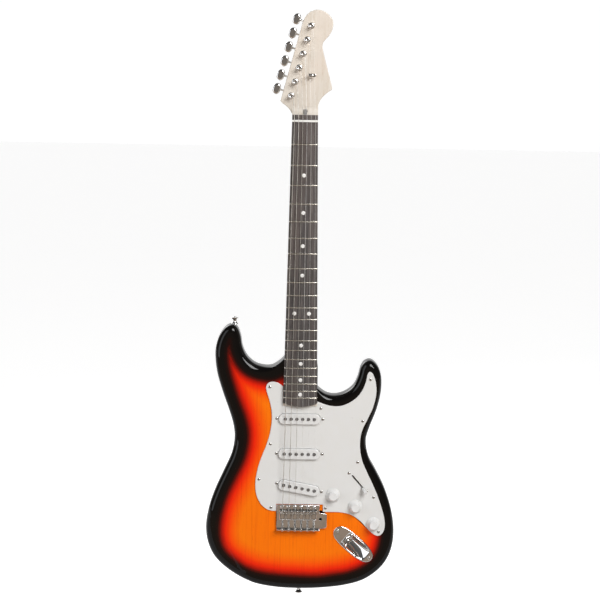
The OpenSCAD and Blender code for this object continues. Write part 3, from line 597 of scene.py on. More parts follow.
# ---- Screws ----
def cross_head(r, rise, flat=0.0):
    """A screw head that faces -Y from y = 0: a dome of that radius and rise with a cross recess."""
    dome = [(r, 0), (r, -flat - rise * 0.12)]
    dome += [(r * math.cos(a), -flat - rise * (0.12 + 0.88 * math.sin(a))) for a in quarter(6)[1:-1]]
    head = Part().add(lathe([(0, 0)] + dome + [(0, -flat - rise)], 32))
    arm, width, depth = r * 0.62, r * 0.13, rise * 0.75 + flat * 0.6
    top = -flat - rise - 1
    cross = Part().add(box((-arm, top, -width), (arm, top + 1 + depth, width), 0))
    cross.add(box((-width, top, -arm), (width, top + 1 + depth, arm), 0))
    return as_shape(carved(head, cross, "head"))


SMALL_HEAD, PIVOT_HEAD = cross_head(2.6, 1.2), cross_head(3.3, 2.1)
NECK_HEAD, TUNER_HEAD = cross_head(4.0, 1.6), cross_head(2.3, 1.4)


def thread(part, start, direction, length, r, pitch=0.9):
    """A screw's shank with a fine spiral thread and a point."""
    a, t = Vector(start), Vector(direction).normalized()
    end, core = a + t * (length - 2.2 * r), r * 0.78
    part.add(sweep([a, end, a + t * length], [core, core, r * 0.1], 12))
    part.add(sweep(helix(a + t * 0.6, end, core, max((length - 3 * r) / pitch, 2), 10), r * 0.2, 5))


def screw(part, place, level, length, r, head, back=False, turn=0.0):
    """A screw through the guitar's front at (x, z), or through its back."""
    m = at(place[0], place[1], level, turn)
    if back:
        m = m @ Matrix.Rotation(math.pi, 4, "Z")
    part.add(head, m)
    thread(part, (place[0], level, place[1]), (0, -1 if back else 1, 0), length, r)


# ---- Camera, floor and light ----
def camera():
    elevation, roll = math.radians(6.75), math.radians(0.996)
    distance, target = 3.0, Vector((-3.1, 0, -292.7)) * MM
    forward = Vector((0, math.cos(elevation), -math.sin(elevation)))
    level, upright = Vector((1, 0, 0)), Vector((0, math.sin(elevation), math.cos(elevation)))
    right = level * math.cos(roll) + upright * math.sin(roll)
    up = upright * math.cos(roll) - level * math.sin(roll)
    data = bpy.data.cameras.new("camera")
    data.sensor_width, data.lens = 36, 109.03
    data.clip_start, data.clip_end = 0.1, 100
    cam = placed("camera", data)
    facing = Matrix((right, up, -forward)).transposed().to_4x4()
    cam.matrix_world = Matrix.Translation(target - forward * distance) @ facing
    bpy.context.scene.camera = cam


def lamp(name, place, aim, width, height, power, colour=(1, 1, 1)):
    data = bpy.data.lights.new(name, "AREA")
    data.shape, data.size, data.size_y = "RECTANGLE", width, height
    data.energy, data.color = power, colour
    obj = placed(name, data)
    obj.location = place
    obj.rotation_euler = (Vector(aim) - Vector(place)).to_track_quat("-Z", "Y").to_euler()


def world_ramp(nodes, links, source, stops):
    """A colour for each value between -1 and 1 of a direction's coordinate."""
    shift, ramp = nodes.new("ShaderNodeMapRange"), nodes.new("ShaderNodeValToRGB")
    shift.inputs["From Min"].default_value = -1
    links.new(source, shift.inputs["Value"])
    links.new(shift.outputs["Result"], ramp.inputs["Fac"])
    elements = ramp.color_ramp.elements
    for _ in stops[2:]:
        elements.new(0.5)
    for element, (place, colour) in zip(elements, stops):
        element.position = (place + 1) / 2
    for element, (place, colour) in zip(elements, stops):
        element.color = (*colour, 1)
    return ramp.outputs["Color"]


def studio():
    world = bpy.data.worlds.new("studio")
    bpy.context.scene.world = world
    world.use_nodes = True
    nodes, links = world.node_tree.nodes, world.node_tree.links
    split = nodes.new("ShaderNodeSeparateXYZ")
    links.new(nodes.new("ShaderNodeTexCoord").outputs["Generated"], split.inputs[0])
    height = world_ramp(nodes, links, split.outputs["Z"], [
        (-0.35, (0.37, 0.285, 0.215)), (0.0, (0.19, 0.17, 0.15)), (0.5, (0.1, 0.1, 0.1))])
    behind = world_ramp(nodes, links, split.outputs["Y"], [(0.35, (0, 0, 0)), (0.93, (1, 1, 1))])
    mix = nodes.new("ShaderNodeMix")
    mix.data_type = "RGBA"
    mix.inputs[7].default_value = (1.02, 1.02, 1.02, 1)
    links.new(behind, mix.inputs[0])
    links.new(height, mix.inputs[6])
    links.new(mix.outputs[2], nodes["Background"].inputs["Color"])
    floor = Paint("floor", (0.72, 0.72, 0.72), Roughness=0.8, Emission_Color=(1, 1, 1, 1))
    run = floor.node("SeparateXYZ")
    floor.links.new(floor.coords, run.inputs[0])
    glow = floor.node("MapRange", interpolation_type="SMOOTHSTEP")
    floor.links.new(run.outputs["Y"], glow.inputs["Value"])
    glow.inputs["From Min"].default_value, glow.inputs["From Max"].default_value = 0.0, 0.85
    glow.inputs["To Max"].default_value = 0.75
    floor.plug(glow.outputs["Result"], "Emission Strength")
    floor.plug(floor.range(floor.noise((3, 3, 3), 3), 0.75, 0.85), "Roughness")
    level, near, far, side = -1.05, -0.5, 30.0, 12.0
    sheet = bpy.data.meshes.new("floor")
    corners = [(-side, near, level), (side, near, level), (side, far, level), (-side, far, level)]
    sheet.from_pydata(corners, [], [(0, 1, 2, 3)])
    sheet.materials.append(floor.material)
    placed("floor", sheet)
    centre = (0, 0, -0.35)
    lamp("key", (1.5, -2.7, 1.5), centre, 1.9, 1.9, 125)
    lamp("fill", (-2.4, -1.8, 0.2), centre, 1.6, 2.4, 20, (0.9, 0.94, 1.0))
    lamp("rear_key", (-1.3, 2.4, 0.8), centre, 1.6, 1.6, 30)
    bpy.context.scene.view_settings.view_transform = "Standard"


camera()
studio()

# ---- Body ----
BODY_EDGE = [
    (-27.6, -391), (-36, -399), (-48, -406), (-62, -406), (-77, -401), (-90, -389), (-97.5, -373),
    (-100.5, -356), (-106, -342), (-114.5, -336.6), (-125, -340.6), (-134.5, -353), (-140.6, -370),
    (-142.2, -389), (-138.6, -418), (-129, -450), (-118, -480.5), (-110.5, -506), (-108.6, -529),
    (-113.5, -555), (-126, -584), (-140, -616), (-150.5, -648.5), (-155, -681), (-150.5, -711),
    (-136.5, -736.5), (-109, -758.7), (-75, -774.5), (-38, -781.6), (0, -783.3), (40, -781.8), (80, -776.4),
    (113, -765.8), (140, -745), (155.5, -719), (161, -687), (157, -650), (144.5, -611), (129, -580),
    (116, -556), (111, -529), (116, -507), (127.5, -476), (134, -447.5), (134.5, -422), (129, -404),
    (118, -393.3), (107, -395), (100, -404.5), (95.5, -421.5), (88, -437), (75, -447.5), (59, -452.6),
    (43, -450.4), (28.6, -441),
]
HEEL_CORNER = [(28.3, -404), (26.5, -396.5), (21, -392.5)]
HEEL_PLACE = (0, -405)
ROUND_OVER, HEEL_ROUND = 11.0, 2.0
FOREARM_LINE, FOREARM_SLOPE, BLEND = ((-168, -618), (-62, -800)), math.tan(math.radians(14)), 9.0
BELLY_START, BELLY_SLOPE, BELLY_MIDDLE, BELLY_RADIUS = -60, 0.24, -525, 300


def half_width(z):
    return NUT_HALF + (HEEL_HALF - NUT_HALF) * z / BOARD_END


def crown(x):
    return x * x / (2 * BOARD_RADIUS)


def soft(d, width):
    return (d + math.sqrt(d * d + width * width)) / 2


def forearm(x, z):
    (ax, az), (bx, bz) = FOREARM_LINE
    length = math.hypot(bx - ax, bz - az)
    d = -((x - ax) * (az - bz) + (z - az) * (bx - ax)) / length
    return max(FOREARM_SLOPE * (soft(d, BLEND) - BLEND * BLEND / 4 / max(-d, BLEND / 2) * (d < 0)), 0)


def belly(x, z):
    depth = BELLY_SLOPE * (BELLY_START - x) - (z - BELLY_MIDDLE) ** 2 / (2 * BELLY_RADIUS)
    return soft(depth, 1.6) if depth > -8 else 0


def heel_round(p):
    reach = math.hypot(p[0] - HEEL_PLACE[0], p[1] - HEEL_PLACE[1])
    return HEEL_ROUND + (ROUND_OVER - HEEL_ROUND) * smooth((reach - 30) / 45)


def face_mesh(loop, spacing):
    """Triangles that fill a loop, with evenly spaced points inside it, so that the face can be shaped."""
    border = np.array(loop)
    x0, z0 = border.min(0)
    x1, z1 = border.max(0)
    grid = [(x0 + (i + 0.5 * (j % 2)) * spacing, z0 + j * spacing * 0.87)
            for j in range(int((z1 - z0) / spacing / 0.87) + 1) for i in range(int((x1 - x0) / spacing) + 1)]
    inside = [p for p in grid if within(p, border) and np.min(np.hypot(*(border - p).T)) > spacing * 0.55]
    points = [Vector(p) for p in loop] + [Vector(p) for p in inside]
    edges = [(i, (i + 1) % len(loop)) for i in range(len(loop))]
    flat, _, faces, *_ = delaunay_2d_cdt(points, edges, [], 1, 1e-5)
    return [tuple(p) for p in flat], [tuple(f) for f in faces]


def within(p, border):
    a, b = border, np.roll(border, -1, 0)
    crosses = (a[:, 1] > p[1]) != (b[:, 1] > p[1])
    x = a[:, 0] + (p[1] - a[:, 1]) * (b[:, 0] - a[:, 0]) / np.where(crosses, b[:, 1] - a[:, 1], 1)
    return np.count_nonzero(crosses & (p[0] < x)) % 2 == 1


def edge_distance(points, loop):
    """How far each (x, z) is inside the loop's line."""
    a, b = np.array(loop), np.roll(np.array(loop), -1, 0)
    step = b - a
    best = np.full(len(points), 1e9)
    for p, d in zip(a, step):
        t = np.clip(((points - p) @ d) / max(d @ d, 1e-9), 0, 1)
        best = np.minimum(best, np.hypot(*(points - p - t[:, None] * d).T))
    return best


def neck_plan(gap=0.0):
    corner = HEEL_HALF + gap
    side = math.degrees(math.asin(corner / END_RADIUS))
    centre = BOARD_END + END_RADIUS - gap
    arc = [(END_RADIUS * math.sin(math.radians(a)), centre - END_RADIUS * math.cos(math.radians(a)))
           for a in [side - 2 * side * k / 16 for k in range(17)]]
    top = half_width(BOARD_START) + gap
    return [(-top, BOARD_START), (top, BOARD_START)] + arc


def body_cutters():
    """The neck pocket and the cavities, which the pickguard, the covers and the plates hide."""
    volume, tone_1, tone_2 = [(middle(k).x, middle(k).z) for k in KNOBS]
    cavities = [(neck_plan(0.02), -30, 16)]
    cavities += [(bar(place, 94, 27, turn), -20, 20) for place, turn, _ in PICKUPS]
    cavities += [
        (stadium((38, -491.5), (38, -552), 5), -20.5, 12), (stadium((38, -552), (50, -606), 5), -21, 12.3),
        (stadium(volume, tone_1, 13.5), -21.5, 34), (stadium(tone_1, tone_2, 13.6), -22, 33.9),
        (stadium((82, -600), (84, -628), 15), -22.5, 33.8), (bar(SWITCH, 62, 24, SWITCH_TURN), -23, 33.7),
        (round_rect(-36.8, -677.5, 44.9, -647, 4), -24, 60), (round_rect(-34, -690, 34, -549, 6), 29, 61),
    ]
    cut = Part()
    for outline, front, back in cavities:
        cut.add(prism(outline, front, back, 0))
    return cut.add(prism(round_rect(18, -11.6, 68, 11.6, 3), -25, 19, 0), at(*JACK_START, 0, JACK_TURN))


def make_body():
    outline = open_curve(BODY_EDGE) + open_curve(HEEL_CORNER, 4)
    outline = outline[::-1] if area(outline) < 0 else outline
    radii = np.array([heel_round(p) for p in outline])
    inner = inset(outline, radii + 0.8)
    rings = [[(x, forearm(x, z), z) for x, z in inner]]
    for a in quarter(7):
        ring = zip(inset(outline, radii * (1 - math.sin(a))), radii)
        rings.append([(x, forearm(x, z) + r * (1 - math.cos(a)), z) for (x, z), r in ring])
    for a in quarter(7):
        ring = zip(inset(outline, radii * (1 - math.cos(a))), radii)
        rings.append([(x, THICK - belly(x, z) - r * (1 - math.sin(a)), z) for (x, z), r in ring])
    rings.append([(x, THICK - belly(x, z), z) for x, z in inner])
    part = Part().add(bridge(rings))
    flat, faces = face_mesh(inner, 5.0)
    part.add(([(x, forearm(x, z), z) for x, z in flat], faces))
    part.add(([(x, THICK - belly(x, z), z) for x, z in flat], faces))
    obj = carved(welded(part), body_cutters(), "body_shell")
    mesh = obj.data
    co = np.empty(len(mesh.vertices) * 3)
    mesh.vertices.foreach_get("co", co)
    co = co.reshape(-1, 3) / MM
    depth = edge_distance(co[:, [0, 2]], outline)
    attribute = mesh.attributes.new("edge", "FLOAT", "POINT")
    attribute.data.foreach_set("value", (depth / BURST_REACH).astype(np.float32))
    show(obj, "body_shell", ROOT, ["body"], [BURST])


def welded(part):
    """The same part with points that lie within a thousandth of a millimetre of each other joined."""
    mesh = part.mesh("welded")
    bm = bmesh.new()
    bm.from_mesh(mesh)
    bmesh.ops.remove_doubles(bm, verts=bm.verts, dist=0.001 * MM)
    joined = Part().add(([tuple(v.co / MM) for v in bm.verts], []))
    bm.verts.index_update()
    joined.faces = [tuple(v.index for v in f.verts) for f in bm.faces]
    joined.paint = [f.material_index for f in bm.faces]
    bm.free()
    bpy.data.meshes.remove(mesh)
    return joined


make_body()

# ---- Neck ----
HEADSTOCK = (
    open_curve([(-20.6, 11.4), (-25.6, 19.8), (-31.6, 25.7), (-37.6, 30)]) + [(-40.8, 33.6), (-6.4, 162)]
    + open_curve([
        (-1.6, 171.4), (6.4, 178.6), (17.6, 181.6), (28.4, 179), (37, 172.8), (42.4, 165), (43.2, 157.5),
        (41.4, 148.6), (36.8, 140.2), (31, 133.6), (27.4, 128.6), (26.3, 122.8), (27.6, 115.4),
        (31.2, 101.2), (36, 83.6), (40.4, 67.6),
    ])
    + open_curve([
        (43.4, 56.6), (42.9, 53.4), (40, 50.8), (33.8, 46.2), (28, 40.6), (23.8, 34.4), (21.3, 27),
        (20.6, 19.5), (20.6, 11.4),
    ])
)
RAMP_LENGTH = 13.5
POSTS = [(middle(f"tuner_post_{s}").x, middle(f"tuner_post_{s}").z) for s in range(1, 7)]


def neck_section(z, top, back, power):
    """A ring across the neck: flat in front at level top, and a round back down to level back."""
    w, n = half_width(min(z, BOARD_START)), 24
    ring = []
    for k in range(n + 1):
        a = math.pi * k / n
        ring.append((w * squarish(math.cos(a), 2 / power), top + (back - top) * math.sin(a) ** (2 / power), z))
    return ring + [(-w + 2 * w * k / 8, top, z) for k in range(1, 8)]


def make_neck():
    ramp_drop = HEAD_FRONT - BOARD_UNDER
    ramp_r = (RAMP_LENGTH ** 2 + ramp_drop ** 2) / (2 * ramp_drop)
    backs = [(-469.5, 16, 14), (-400, 16, 14), (-396, 15.9, 7), (-391, 15.4, 3.6), (-384, 14.4, 2.7),
             (-372, 13.9, 2.35), (-350, 13.6, 2.25), (-250, 12.9, 2.2), (-120, 12.1, 2.15), (-36, 11.6, 2.15),
             (-20, 11.8, 2.2), (-10, 12.5, 2.3), (-2, 13.5, 2.5), (5, 14.6, 2.9), (11.5, 15.5, 3.8)]
    sections = [(z, BOARD_UNDER, back, power) for z, back, power in backs]
    for k in range(1, 7):
        z = RAMP_LENGTH * k / 6
        y = HEAD_FRONT - ramp_r + math.sqrt(ramp_r ** 2 - (RAMP_LENGTH - z) ** 2)
        sections.append((BOARD_START + z, y + 0.02, 15.9, 6))
    part = Part().add(loft([neck_section(*s) for s in sections]))
    holes = [circle(p, 4.4) for p in POSTS]
    part.add(prism(HEADSTOCK, HEAD_FRONT, HEAD_BACK, 1.3, 1.6, holes))
    cut = Part().add(sweep([(0, 0.6, 4), (0, -0.6, 15), (0, -2.6, 24.5)], [3.4, 3.9, 4.4], 24))
    show(carved(part, cut, "neck_wood"), "neck_wood", ROOT, ["neck"], [MAPLE])


def make_fretboard():
    part, across, stations = Part(), 24, 60
    rings = []
    for i in range(stations + 1):
        share = i / stations
        ring = []
        shape = [(-1, BOARD_UNDER), (-1, BOARD_TOP + 2.6), (-0.995, BOARD_TOP + 1.9)]
        shape += [(-0.98 + 1.96 * k / across, None) for k in range(across + 1)]
        shape += [(0.995, BOARD_TOP + 1.9), (1, BOARD_TOP + 2.6), (1, BOARD_UNDER)]
        for u, y in shape:
            end_z = BOARD_END + END_RADIUS - math.sqrt(END_RADIUS ** 2 - (u * HEEL_HALF) ** 2)
            z = BOARD_START + (end_z - BOARD_START) * share
            x = u * half_width(z)
            ring.append((x, BOARD_TOP + crown(x) if y is None else y, z))
        rings.append(ring)
    part.add(loft(rings))
    show(part, "rosewood_board", ROOT, ["fretboard"], [ROSEWOOD])


def fret_z(n):
    return -SCALE * (1 - 2 ** (-n / 12))


def make_frets():
    part = Part()
    for n in range(1, FRETS + 1):
        z, w = fret_z(n), half_width(fret_z(n)) - 0.2
        rings = []
        for k in range(25):
            x = -w + 2 * w * k / 24
            tall = FRET_HEIGHT * min(1, 0.15 + (w - abs(x)) / 1.3)
            base = BOARD_TOP + crown(x) + 0.35
            ring = [(x, base - (tall + 0.35) * math.sin(math.pi * j / 8) ** 0.8,
                     z + FRET_WIDTH / 2 * math.cos(math.pi * j / 8)) for j in range(9)]
            rings.append(ring + [(x, base, z)])
        part.add(loft(rings))
        part.add(box((-w + 1, BOARD_TOP + 1.5, z - 0.25), (w - 1, BOARD_TOP + 3, z + 0.25), 0))
    show(part, "fret_wires", ROOT, ["frets"], [NICKEL])
    dots = Part()
    places = [(0, (fret_z(n - 1) + fret_z(n)) / 2) for n in (3, 5, 7, 9, 15, 17, 19, 21)]
    places += [(x, (fret_z(11) + fret_z(12)) / 2) for x in (-12, 12)]
    disc = lathe([(0, 1.6), (3.2, 1.6), (3.2, 0.0), (3.1, -0.05), (0, -0.06)], 32)
    for x, z in places:
        place = Matrix.Translation((x, BOARD_TOP + crown(x), z))
        dots.add(disc, place @ Matrix.Rotation(x / BOARD_RADIUS, 4, "Z"))
    show(dots, "position_dots", ROOT, ["fret_markers"], [PEARL])


def nut_x(s):
    return (3.5 - s) * NUT_PITCH


def bridge_x(s):
    return (3.5 - s) * BRIDGE_PITCH


def string_at_nut(s):
    return Vector((nut_x(s), BOARD_TOP - FRET_HEIGHT - 0.5 + crown(nut_x(s)) - GAUGES[s - 1] / 2, 0))


def make_nut():
    w, under, part = NUT_HALF, BOARD_TOP + 2.5, Part()
    top = low("nut").y
    profile = [(-w, under), (-w, top + crown(w) + 0.5), (-w + 0.5, top + crown(w))]
    for s in range(6, 0, -1):
        x, half = nut_x(s), GAUGES[s - 1] / 2 + 0.18
        floor = string_at_nut(s).y + half - 0.1
        edge = top + crown(x)
        profile += [(x - half - 0.25, edge), (x - half, edge + 0.25), (x - half, floor), (x + half, floor),
                    (x + half, edge + 0.25), (x + half + 0.25, edge)]
    profile += [(w - 0.5, top + crown(w)), (w, top + crown(w) + 0.5), (w, under)]
    plate = prism([(x, -y) for x, y in profile], -NUT_LENGTH, 0, 0.5, 0.15)
    part.add(([(x, -z, -y) for x, y, z in plate[0]], plate[1]))
    show(part, "nut_bone", ROOT, ["nut"], [BONE], 40)


make_neck()
make_fretboard()
make_frets()
make_nut()


# ---- Tuners ----
def at_tuner(s):
    x, z = POSTS[s - 1]
    return at(x, z) @ Matrix.Rotation(LEAN, 4, "Y")


BUTTON = [(-33, 0), (-32.2, 5.2), (-28.6, 8.9), (-24, 9.4), (-20.6, 6.4), (-19.8, 2.6)]
POST_TOP, WINDING = -14, -8


def make_tuners():
    outline = closed_curve(BUTTON + [(x, -z) for x, z in BUTTON[:0:-1]], 8)
    housings, bushings, screws = Part(), Part(), Part()
    for s in range(1, 7):
        m = at_tuner(s)
        housings.add(prism(round_rect(-7.5, -11.4, 7.5, 8.6, 1.6), HEAD_BACK, HEAD_BACK + 2, 0, 0.5), m)
        housings.add(prism(round_rect(-7.2, -6.4, 7.2, 8.4, 2.0), HEAD_BACK + 1.6, 27, 0, 1.8, steps=5), m)
        housings.add(rod((-6, KEY_DEPTH, KEY_OFFSET), (-12.5, KEY_DEPTH, KEY_OFFSET), 3.1, 0.5), m)
        housings.add(lathe([(0, 27.25), (2.0, 27.2), (2.3, 26.9), (2.3, 26.5), (0, 26.5)], 24), m)
        ring = [(3.08, 8), (3.08, -1.6), (3.35, -2), (3.9, -1.95), (4.7, -1.65), (5.3, -1.15), (5.7, -0.5),
                (5.8, 0), (4.3, 0), (4.3, 8), (3.08, 8)]
        bushings.add(lathe([(r, HEAD_FRONT + h) for r, h in ring], 48), m)
        for x in (-4.6, 4.6):
            place = m @ Matrix.Translation((x, HEAD_BACK + 2, -9))
            screws.add(TUNER_HEAD, place @ Matrix.Rotation(math.pi, 4, "Z"))
            thread(screws, place.translation, (0, -1, 0), 10, 1.1)
        key = Part()
        key.add(prism(outline, KEY_DEPTH - 3.6, KEY_DEPTH + 3.6, 3.2, 3.2, steps=8),
                m @ Matrix.Translation((0, 0, KEY_OFFSET)))
        stem = [(-20.6, 2.5), (-19.4, 2.3), (-18.2, 1.7), (-14.6, 1.6), (-14.5, 2.2), (-13.2, 2.3), (-13, 1.65),
                (-5.5, 1.6), (-5.4, 1.2), (6, 1.2)]
        key.add(sweep([(x, KEY_DEPTH, KEY_OFFSET) for x, _ in stem], [r for _, r in stem], 24), m)
        show(key, f"tuner_button_{s}", f"tuner_key_{s}_body", [f"tuner_key_{s}"], [CHROME])
        make_post(s, m)
    show(housings, "tuner_covers", ROOT, ["tuner_housings"], [CHROME])
    show(bushings, "tuner_collars", ROOT, ["tuner_bushings"], [CHROME])
    show(screws, "tuner_plate_screws", ROOT, ["tuner_screws"], [SCREW])


def make_post(s, m):
    post = Part().add(lathe([
        (0, 22.9), (2.7, 22.9), (2.85, 22.6), (2.85, 20.1), (3, 19.9), (3, -4.6), (2.72, -5.4), (2.6, WINDING),
        (2.72, -10.6), (3, -11.4), (3, POST_TOP + 0.7), (2.4, POST_TOP), (1.6, POST_TOP + 0.15),
        (0, POST_TOP + 0.5)], 32), m)
    slot = Part().add(box((-0.6, POST_TOP - 1, -5), (0.6, -10.5, 5), 0), m)
    slot.add(rod((0, POST_TOP - 1, 0), (0, -5, 0), 0.9), m)
    part = Part().add(as_shape(carved(post, slot, "post")))
    r = max(GAUGES[s - 1] / 2, 0.16)
    turns = 3 if s > 3 else 4
    coil = helix((0, -9.6 if s > 3 else -9.2, 0), (0, -6.4, 0), 2.95 + r, turns, 20)
    part.add(sweep(coil, r, 8), m, 1)
    show(part, f"tuner_shaft_{s}", f"tuner_post_{s}_body", [f"tuner_post_{s}"], [CHROME, STRING])


make_tuners()


# ---- Strings ----
TREE = (10.4, 75.5)


def string_path(s):
    r = GAUGES[s - 1] / 2
    post = Vector((POSTS[s - 1][0] + 3.15 + r, -6.9 - r, POSTS[s - 1][1]))
    nut = string_at_nut(s)
    saddle = Vector((bridge_x(s), SADDLE_TOP - 0.1 + crown(bridge_x(s)) - r, SADDLE_Z))
    path = [post]
    if s <= 2:
        t = TREE[1] / post.z
        under = Vector((nut.x + (post.x - nut.x) * t, -6.9, TREE[1]))
        path += [under + Vector((0, -0.05, 2.5)), under, under + Vector((0, -0.05, -2.5))]
    path += [nut + Vector((0, 0.25 if s > 2 else 0.15, NUT_LENGTH)), nut]
    path += [nut.lerp(saddle, k / 12) for k in range(1, 11)]
    path += [nut.lerp(saddle, 0.9167 + 0.0833 * k / 12) for k in range(1, 13)]
    path += [Vector((bridge_x(s), y, z)) for y, z in
             ((saddle.y + 0.5, SADDLE_Z - 1.2), (saddle.y + 1.8, SADDLE_Z - 3), (PLATE_TOP - 1, BLOCK_Z + 0.8),
              (PIVOT_Y, BLOCK_Z))]
    return path


def make_strings():
    part = Part()
    for s in range(1, 7):
        part.add(sweep(string_path(s), GAUGES[s - 1] / 2, 10), None, 0 if s <= 3 else 1)
    obj = show(part, "six_strings", None, ["strings"], [STRING, WOUND])
    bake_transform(obj)
    tree = Part()
    x, z = TREE
    tree.add(prism(bar((x, z), 12.6, 6, -6), -8.4, -7.3, 0.5, 0.3))
    tree.add(lathe([(1.7, -7.35), (1.7, 1.4), (2.3, 1.5), (0, 1.5)], 24), at(x, z))
    tree.add(cross_head(2.0, 0.9), at(x, z, -8.3))
    thread(tree, (x, 1.4, z), (0, 1, 0), 9.6, 1.1)
    show(tree, "string_guide", ROOT, ["string_tree"], [CHROME])


make_strings()

# ---- Pickguard ----
GUARD_LEFT = [
    (-28.25, -437.6), (-37.5, -431.5), (-47.5, -429.8), (-54.5, -433), (-57, -440), (-55, -449),
    (-50.8, -462), (-47.4, -478), (-46.8, -496), (-49.4, -516.5), (-55.5, -538), (-63.5, -559),
    (-69.6, -580), (-72.5, -602), (-70.5, -621.5), (-62.5, -637.5), (-51, -646.6), (-39, -648.8),
]
GUARD_RIGHT = [
    (41, -649.2), (59, -648.8), (76, -649.8), (91, -654.4), (104, -663.6), (115, -675), (125, -684.4),
    (133, -688.3), (140, -685.6), (144.4, -677.5), (145.2, -664), (141, -645), (133, -622), (123.5, -600),
    (113, -578.5), (104.5, -558), (101, -535), (103.4, -512), (112, -492), (121, -471.5), (126, -449.5),
    (125.6, -431), (121, -416), (115.2, -410.4), (111, -415), (108.4, -427.5), (102.5, -442.5), (93, -454.7),
    (80.5, -463.7), (66, -469), (48, -468.2), (28.5, -461.9),
]
BRIDGE_NOTCH = [(-36.4, -648), (-36.4, -636.5), (41, -636.5)]
PICKUP_SCREW_REACH, SWITCH_SCREW_REACH, JACK_SCREWS = 38.25, 21, (5, 75)


def pickup_screw(number, side):
    (x, z), turn, _ = PICKUPS[number]
    dx, dz = polar(side * PICKUP_SCREW_REACH, turn)
    return x + dx, z + dz


def switch_screw(side):
    dx, dz = polar(side * SWITCH_SCREW_REACH, SWITCH_TURN)
    return SWITCH[0] + dx, SWITCH[1] + dz


def jack_point(s):
    dx, dz = polar(s, JACK_TURN)
    return JACK_START[0] + dx, JACK_START[1] + dz


def make_guard():
    outline = open_curve(GUARD_LEFT) + BRIDGE_NOTCH + open_curve(GUARD_RIGHT) + neck_plan(0.2)[2:]
    holes = [bar(p, 70.1, 18.1, turn) for p, turn, _ in PICKUPS]
    holes += [circle(pickup_screw(i, side), 1.7, 16) for i in range(3) for side in (-1, 1)]
    holes += [circle((middle(k).x, middle(k).z), 4) for k in KNOBS]
    holes += [circle(switch_screw(side), 1.7, 16) for side in (-1, 1)]
    holes += [circle(p, 1.7, 16) for p in GUARD_SCREWS] + [bar(SWITCH, 30, 2.4, SLOT_TURN)]
    part = Part().add(prism(outline, GUARD_FRONT, 0, 1.1, 0, holes, 4))
    show(part, "scratch_plate", ROOT, ["pickguard"], [GUARD])
    screws = Part()
    for i, p in enumerate(GUARD_SCREWS):
        screw(screws, p, GUARD_FRONT, 13, 1.3, SMALL_HEAD, turn=37 * i)
    for s in JACK_SCREWS:
        screw(screws, jack_point(s), -1.5, 13, 1.3, SMALL_HEAD, turn=s)
    for i, p in enumerate(COVER_SCREWS):
        screw(screws, p, THICK + 2, 12, 1.3, SMALL_HEAD, True, 51 * i)
    show(screws, "plate_screw_set", ROOT, ["plate_screws"], [SCREW])
    screws = Part()
    for i in range(3):
        for side in (-1, 1):
            screw(screws, pickup_screw(i, side), GUARD_FRONT, 19, 1.5, SMALL_HEAD, turn=61 * i + 20 * side)
    for side in (-1, 1):
        screw(screws, switch_screw(side), GUARD_FRONT, 6, 1.5, SMALL_HEAD, turn=30 * side)
    show(screws, "machine_screw_set", ROOT, ["machine_screws"], [SCREW])


def make_pickups():
    covers, poles, springs = Part(), Part(), Part()
    for i, ((x, z), turn, pitch) in enumerate(PICKUPS):
        m, top = at(x, z, 0, turn), PICKUP_TOPS[i]
        xs = [(k - 2.5) * pitch for k in range(6)]
        outer, inner = bar((0, 0), 69.8, 17.8, 0), bar((0, 0), 67.4, 15.4, 0)
        covers.add(prism(outer, top, top + 2.2, 1.5, 0, [circle((q, 0), 2.55) for q in xs], 5), m)
        covers.add(prism(outer, top + 2.15, 6, 0, 0, [inner]), m)
        for q in xs:
            pole = [(0, 11), (2.45, 11), (2.45, top - 0.75), (2.2, top - 1), (0, top - 1)]
            poles.add(lathe(pole, 24), m @ Matrix.Translation((q, 0, 0)))
        for side in (-1, 1):
            px, pz = pickup_screw(i, side)
            springs.add(sweep(helix((px, 0.4, pz), (px, 5.6, pz), 2.35, 4.5, 14), 0.3, 8))
    show(covers, "pickup_cover_set", ROOT, ["pickup_covers"], [COVER])
    show(poles, "pole_pieces", ROOT, ["pickup_poles"], [POLE])
    show(springs, "pickup_spring_set", ROOT, ["pickup_springs"], [STEEL])


make_guard()
make_pickups()


# ---- Controls ----
def make_knob(node):
    place = middle(node)
    base, top = -3, low(node).y
    skirt = [(8.2, 0), (11.9, 0), (12, -0.5), (11.4, -1.6), (9.2, -3.6), (8, -5.2), (7.6, -6)]
    crest = [(7.2, 1.6), (6.9, 0.7), (6.1, 0.05), (5.2, 0.25), (0, 0.55)]
    profile = [(r, base + h) for r, h in skirt] + [(r, top + h) for r, h in crest]
    ends_of_grip = (len(skirt) - 1, len(skirt))
    part = Part().add(lathe(profile, 96, 0.22, 24, ends_of_grip), at(place.x, place.z))
    tick = box((-0.16, base - 2.72, 9.6), (0.16, base - 2.3, 11.0), 0)
    for k in range(11):
        part.add(tick, at(place.x, place.z) @ Matrix.Rotation(math.radians(150 - 30 * k), 4, "Y"), 1)
    part.add(rod((place.x, top + 3, place.z), (place.x, 7, place.z), 3, 0.3), None, 2)
    show(part, node + "_cap", node + "_body", [node], [KNOB, GOLD, STEEL])


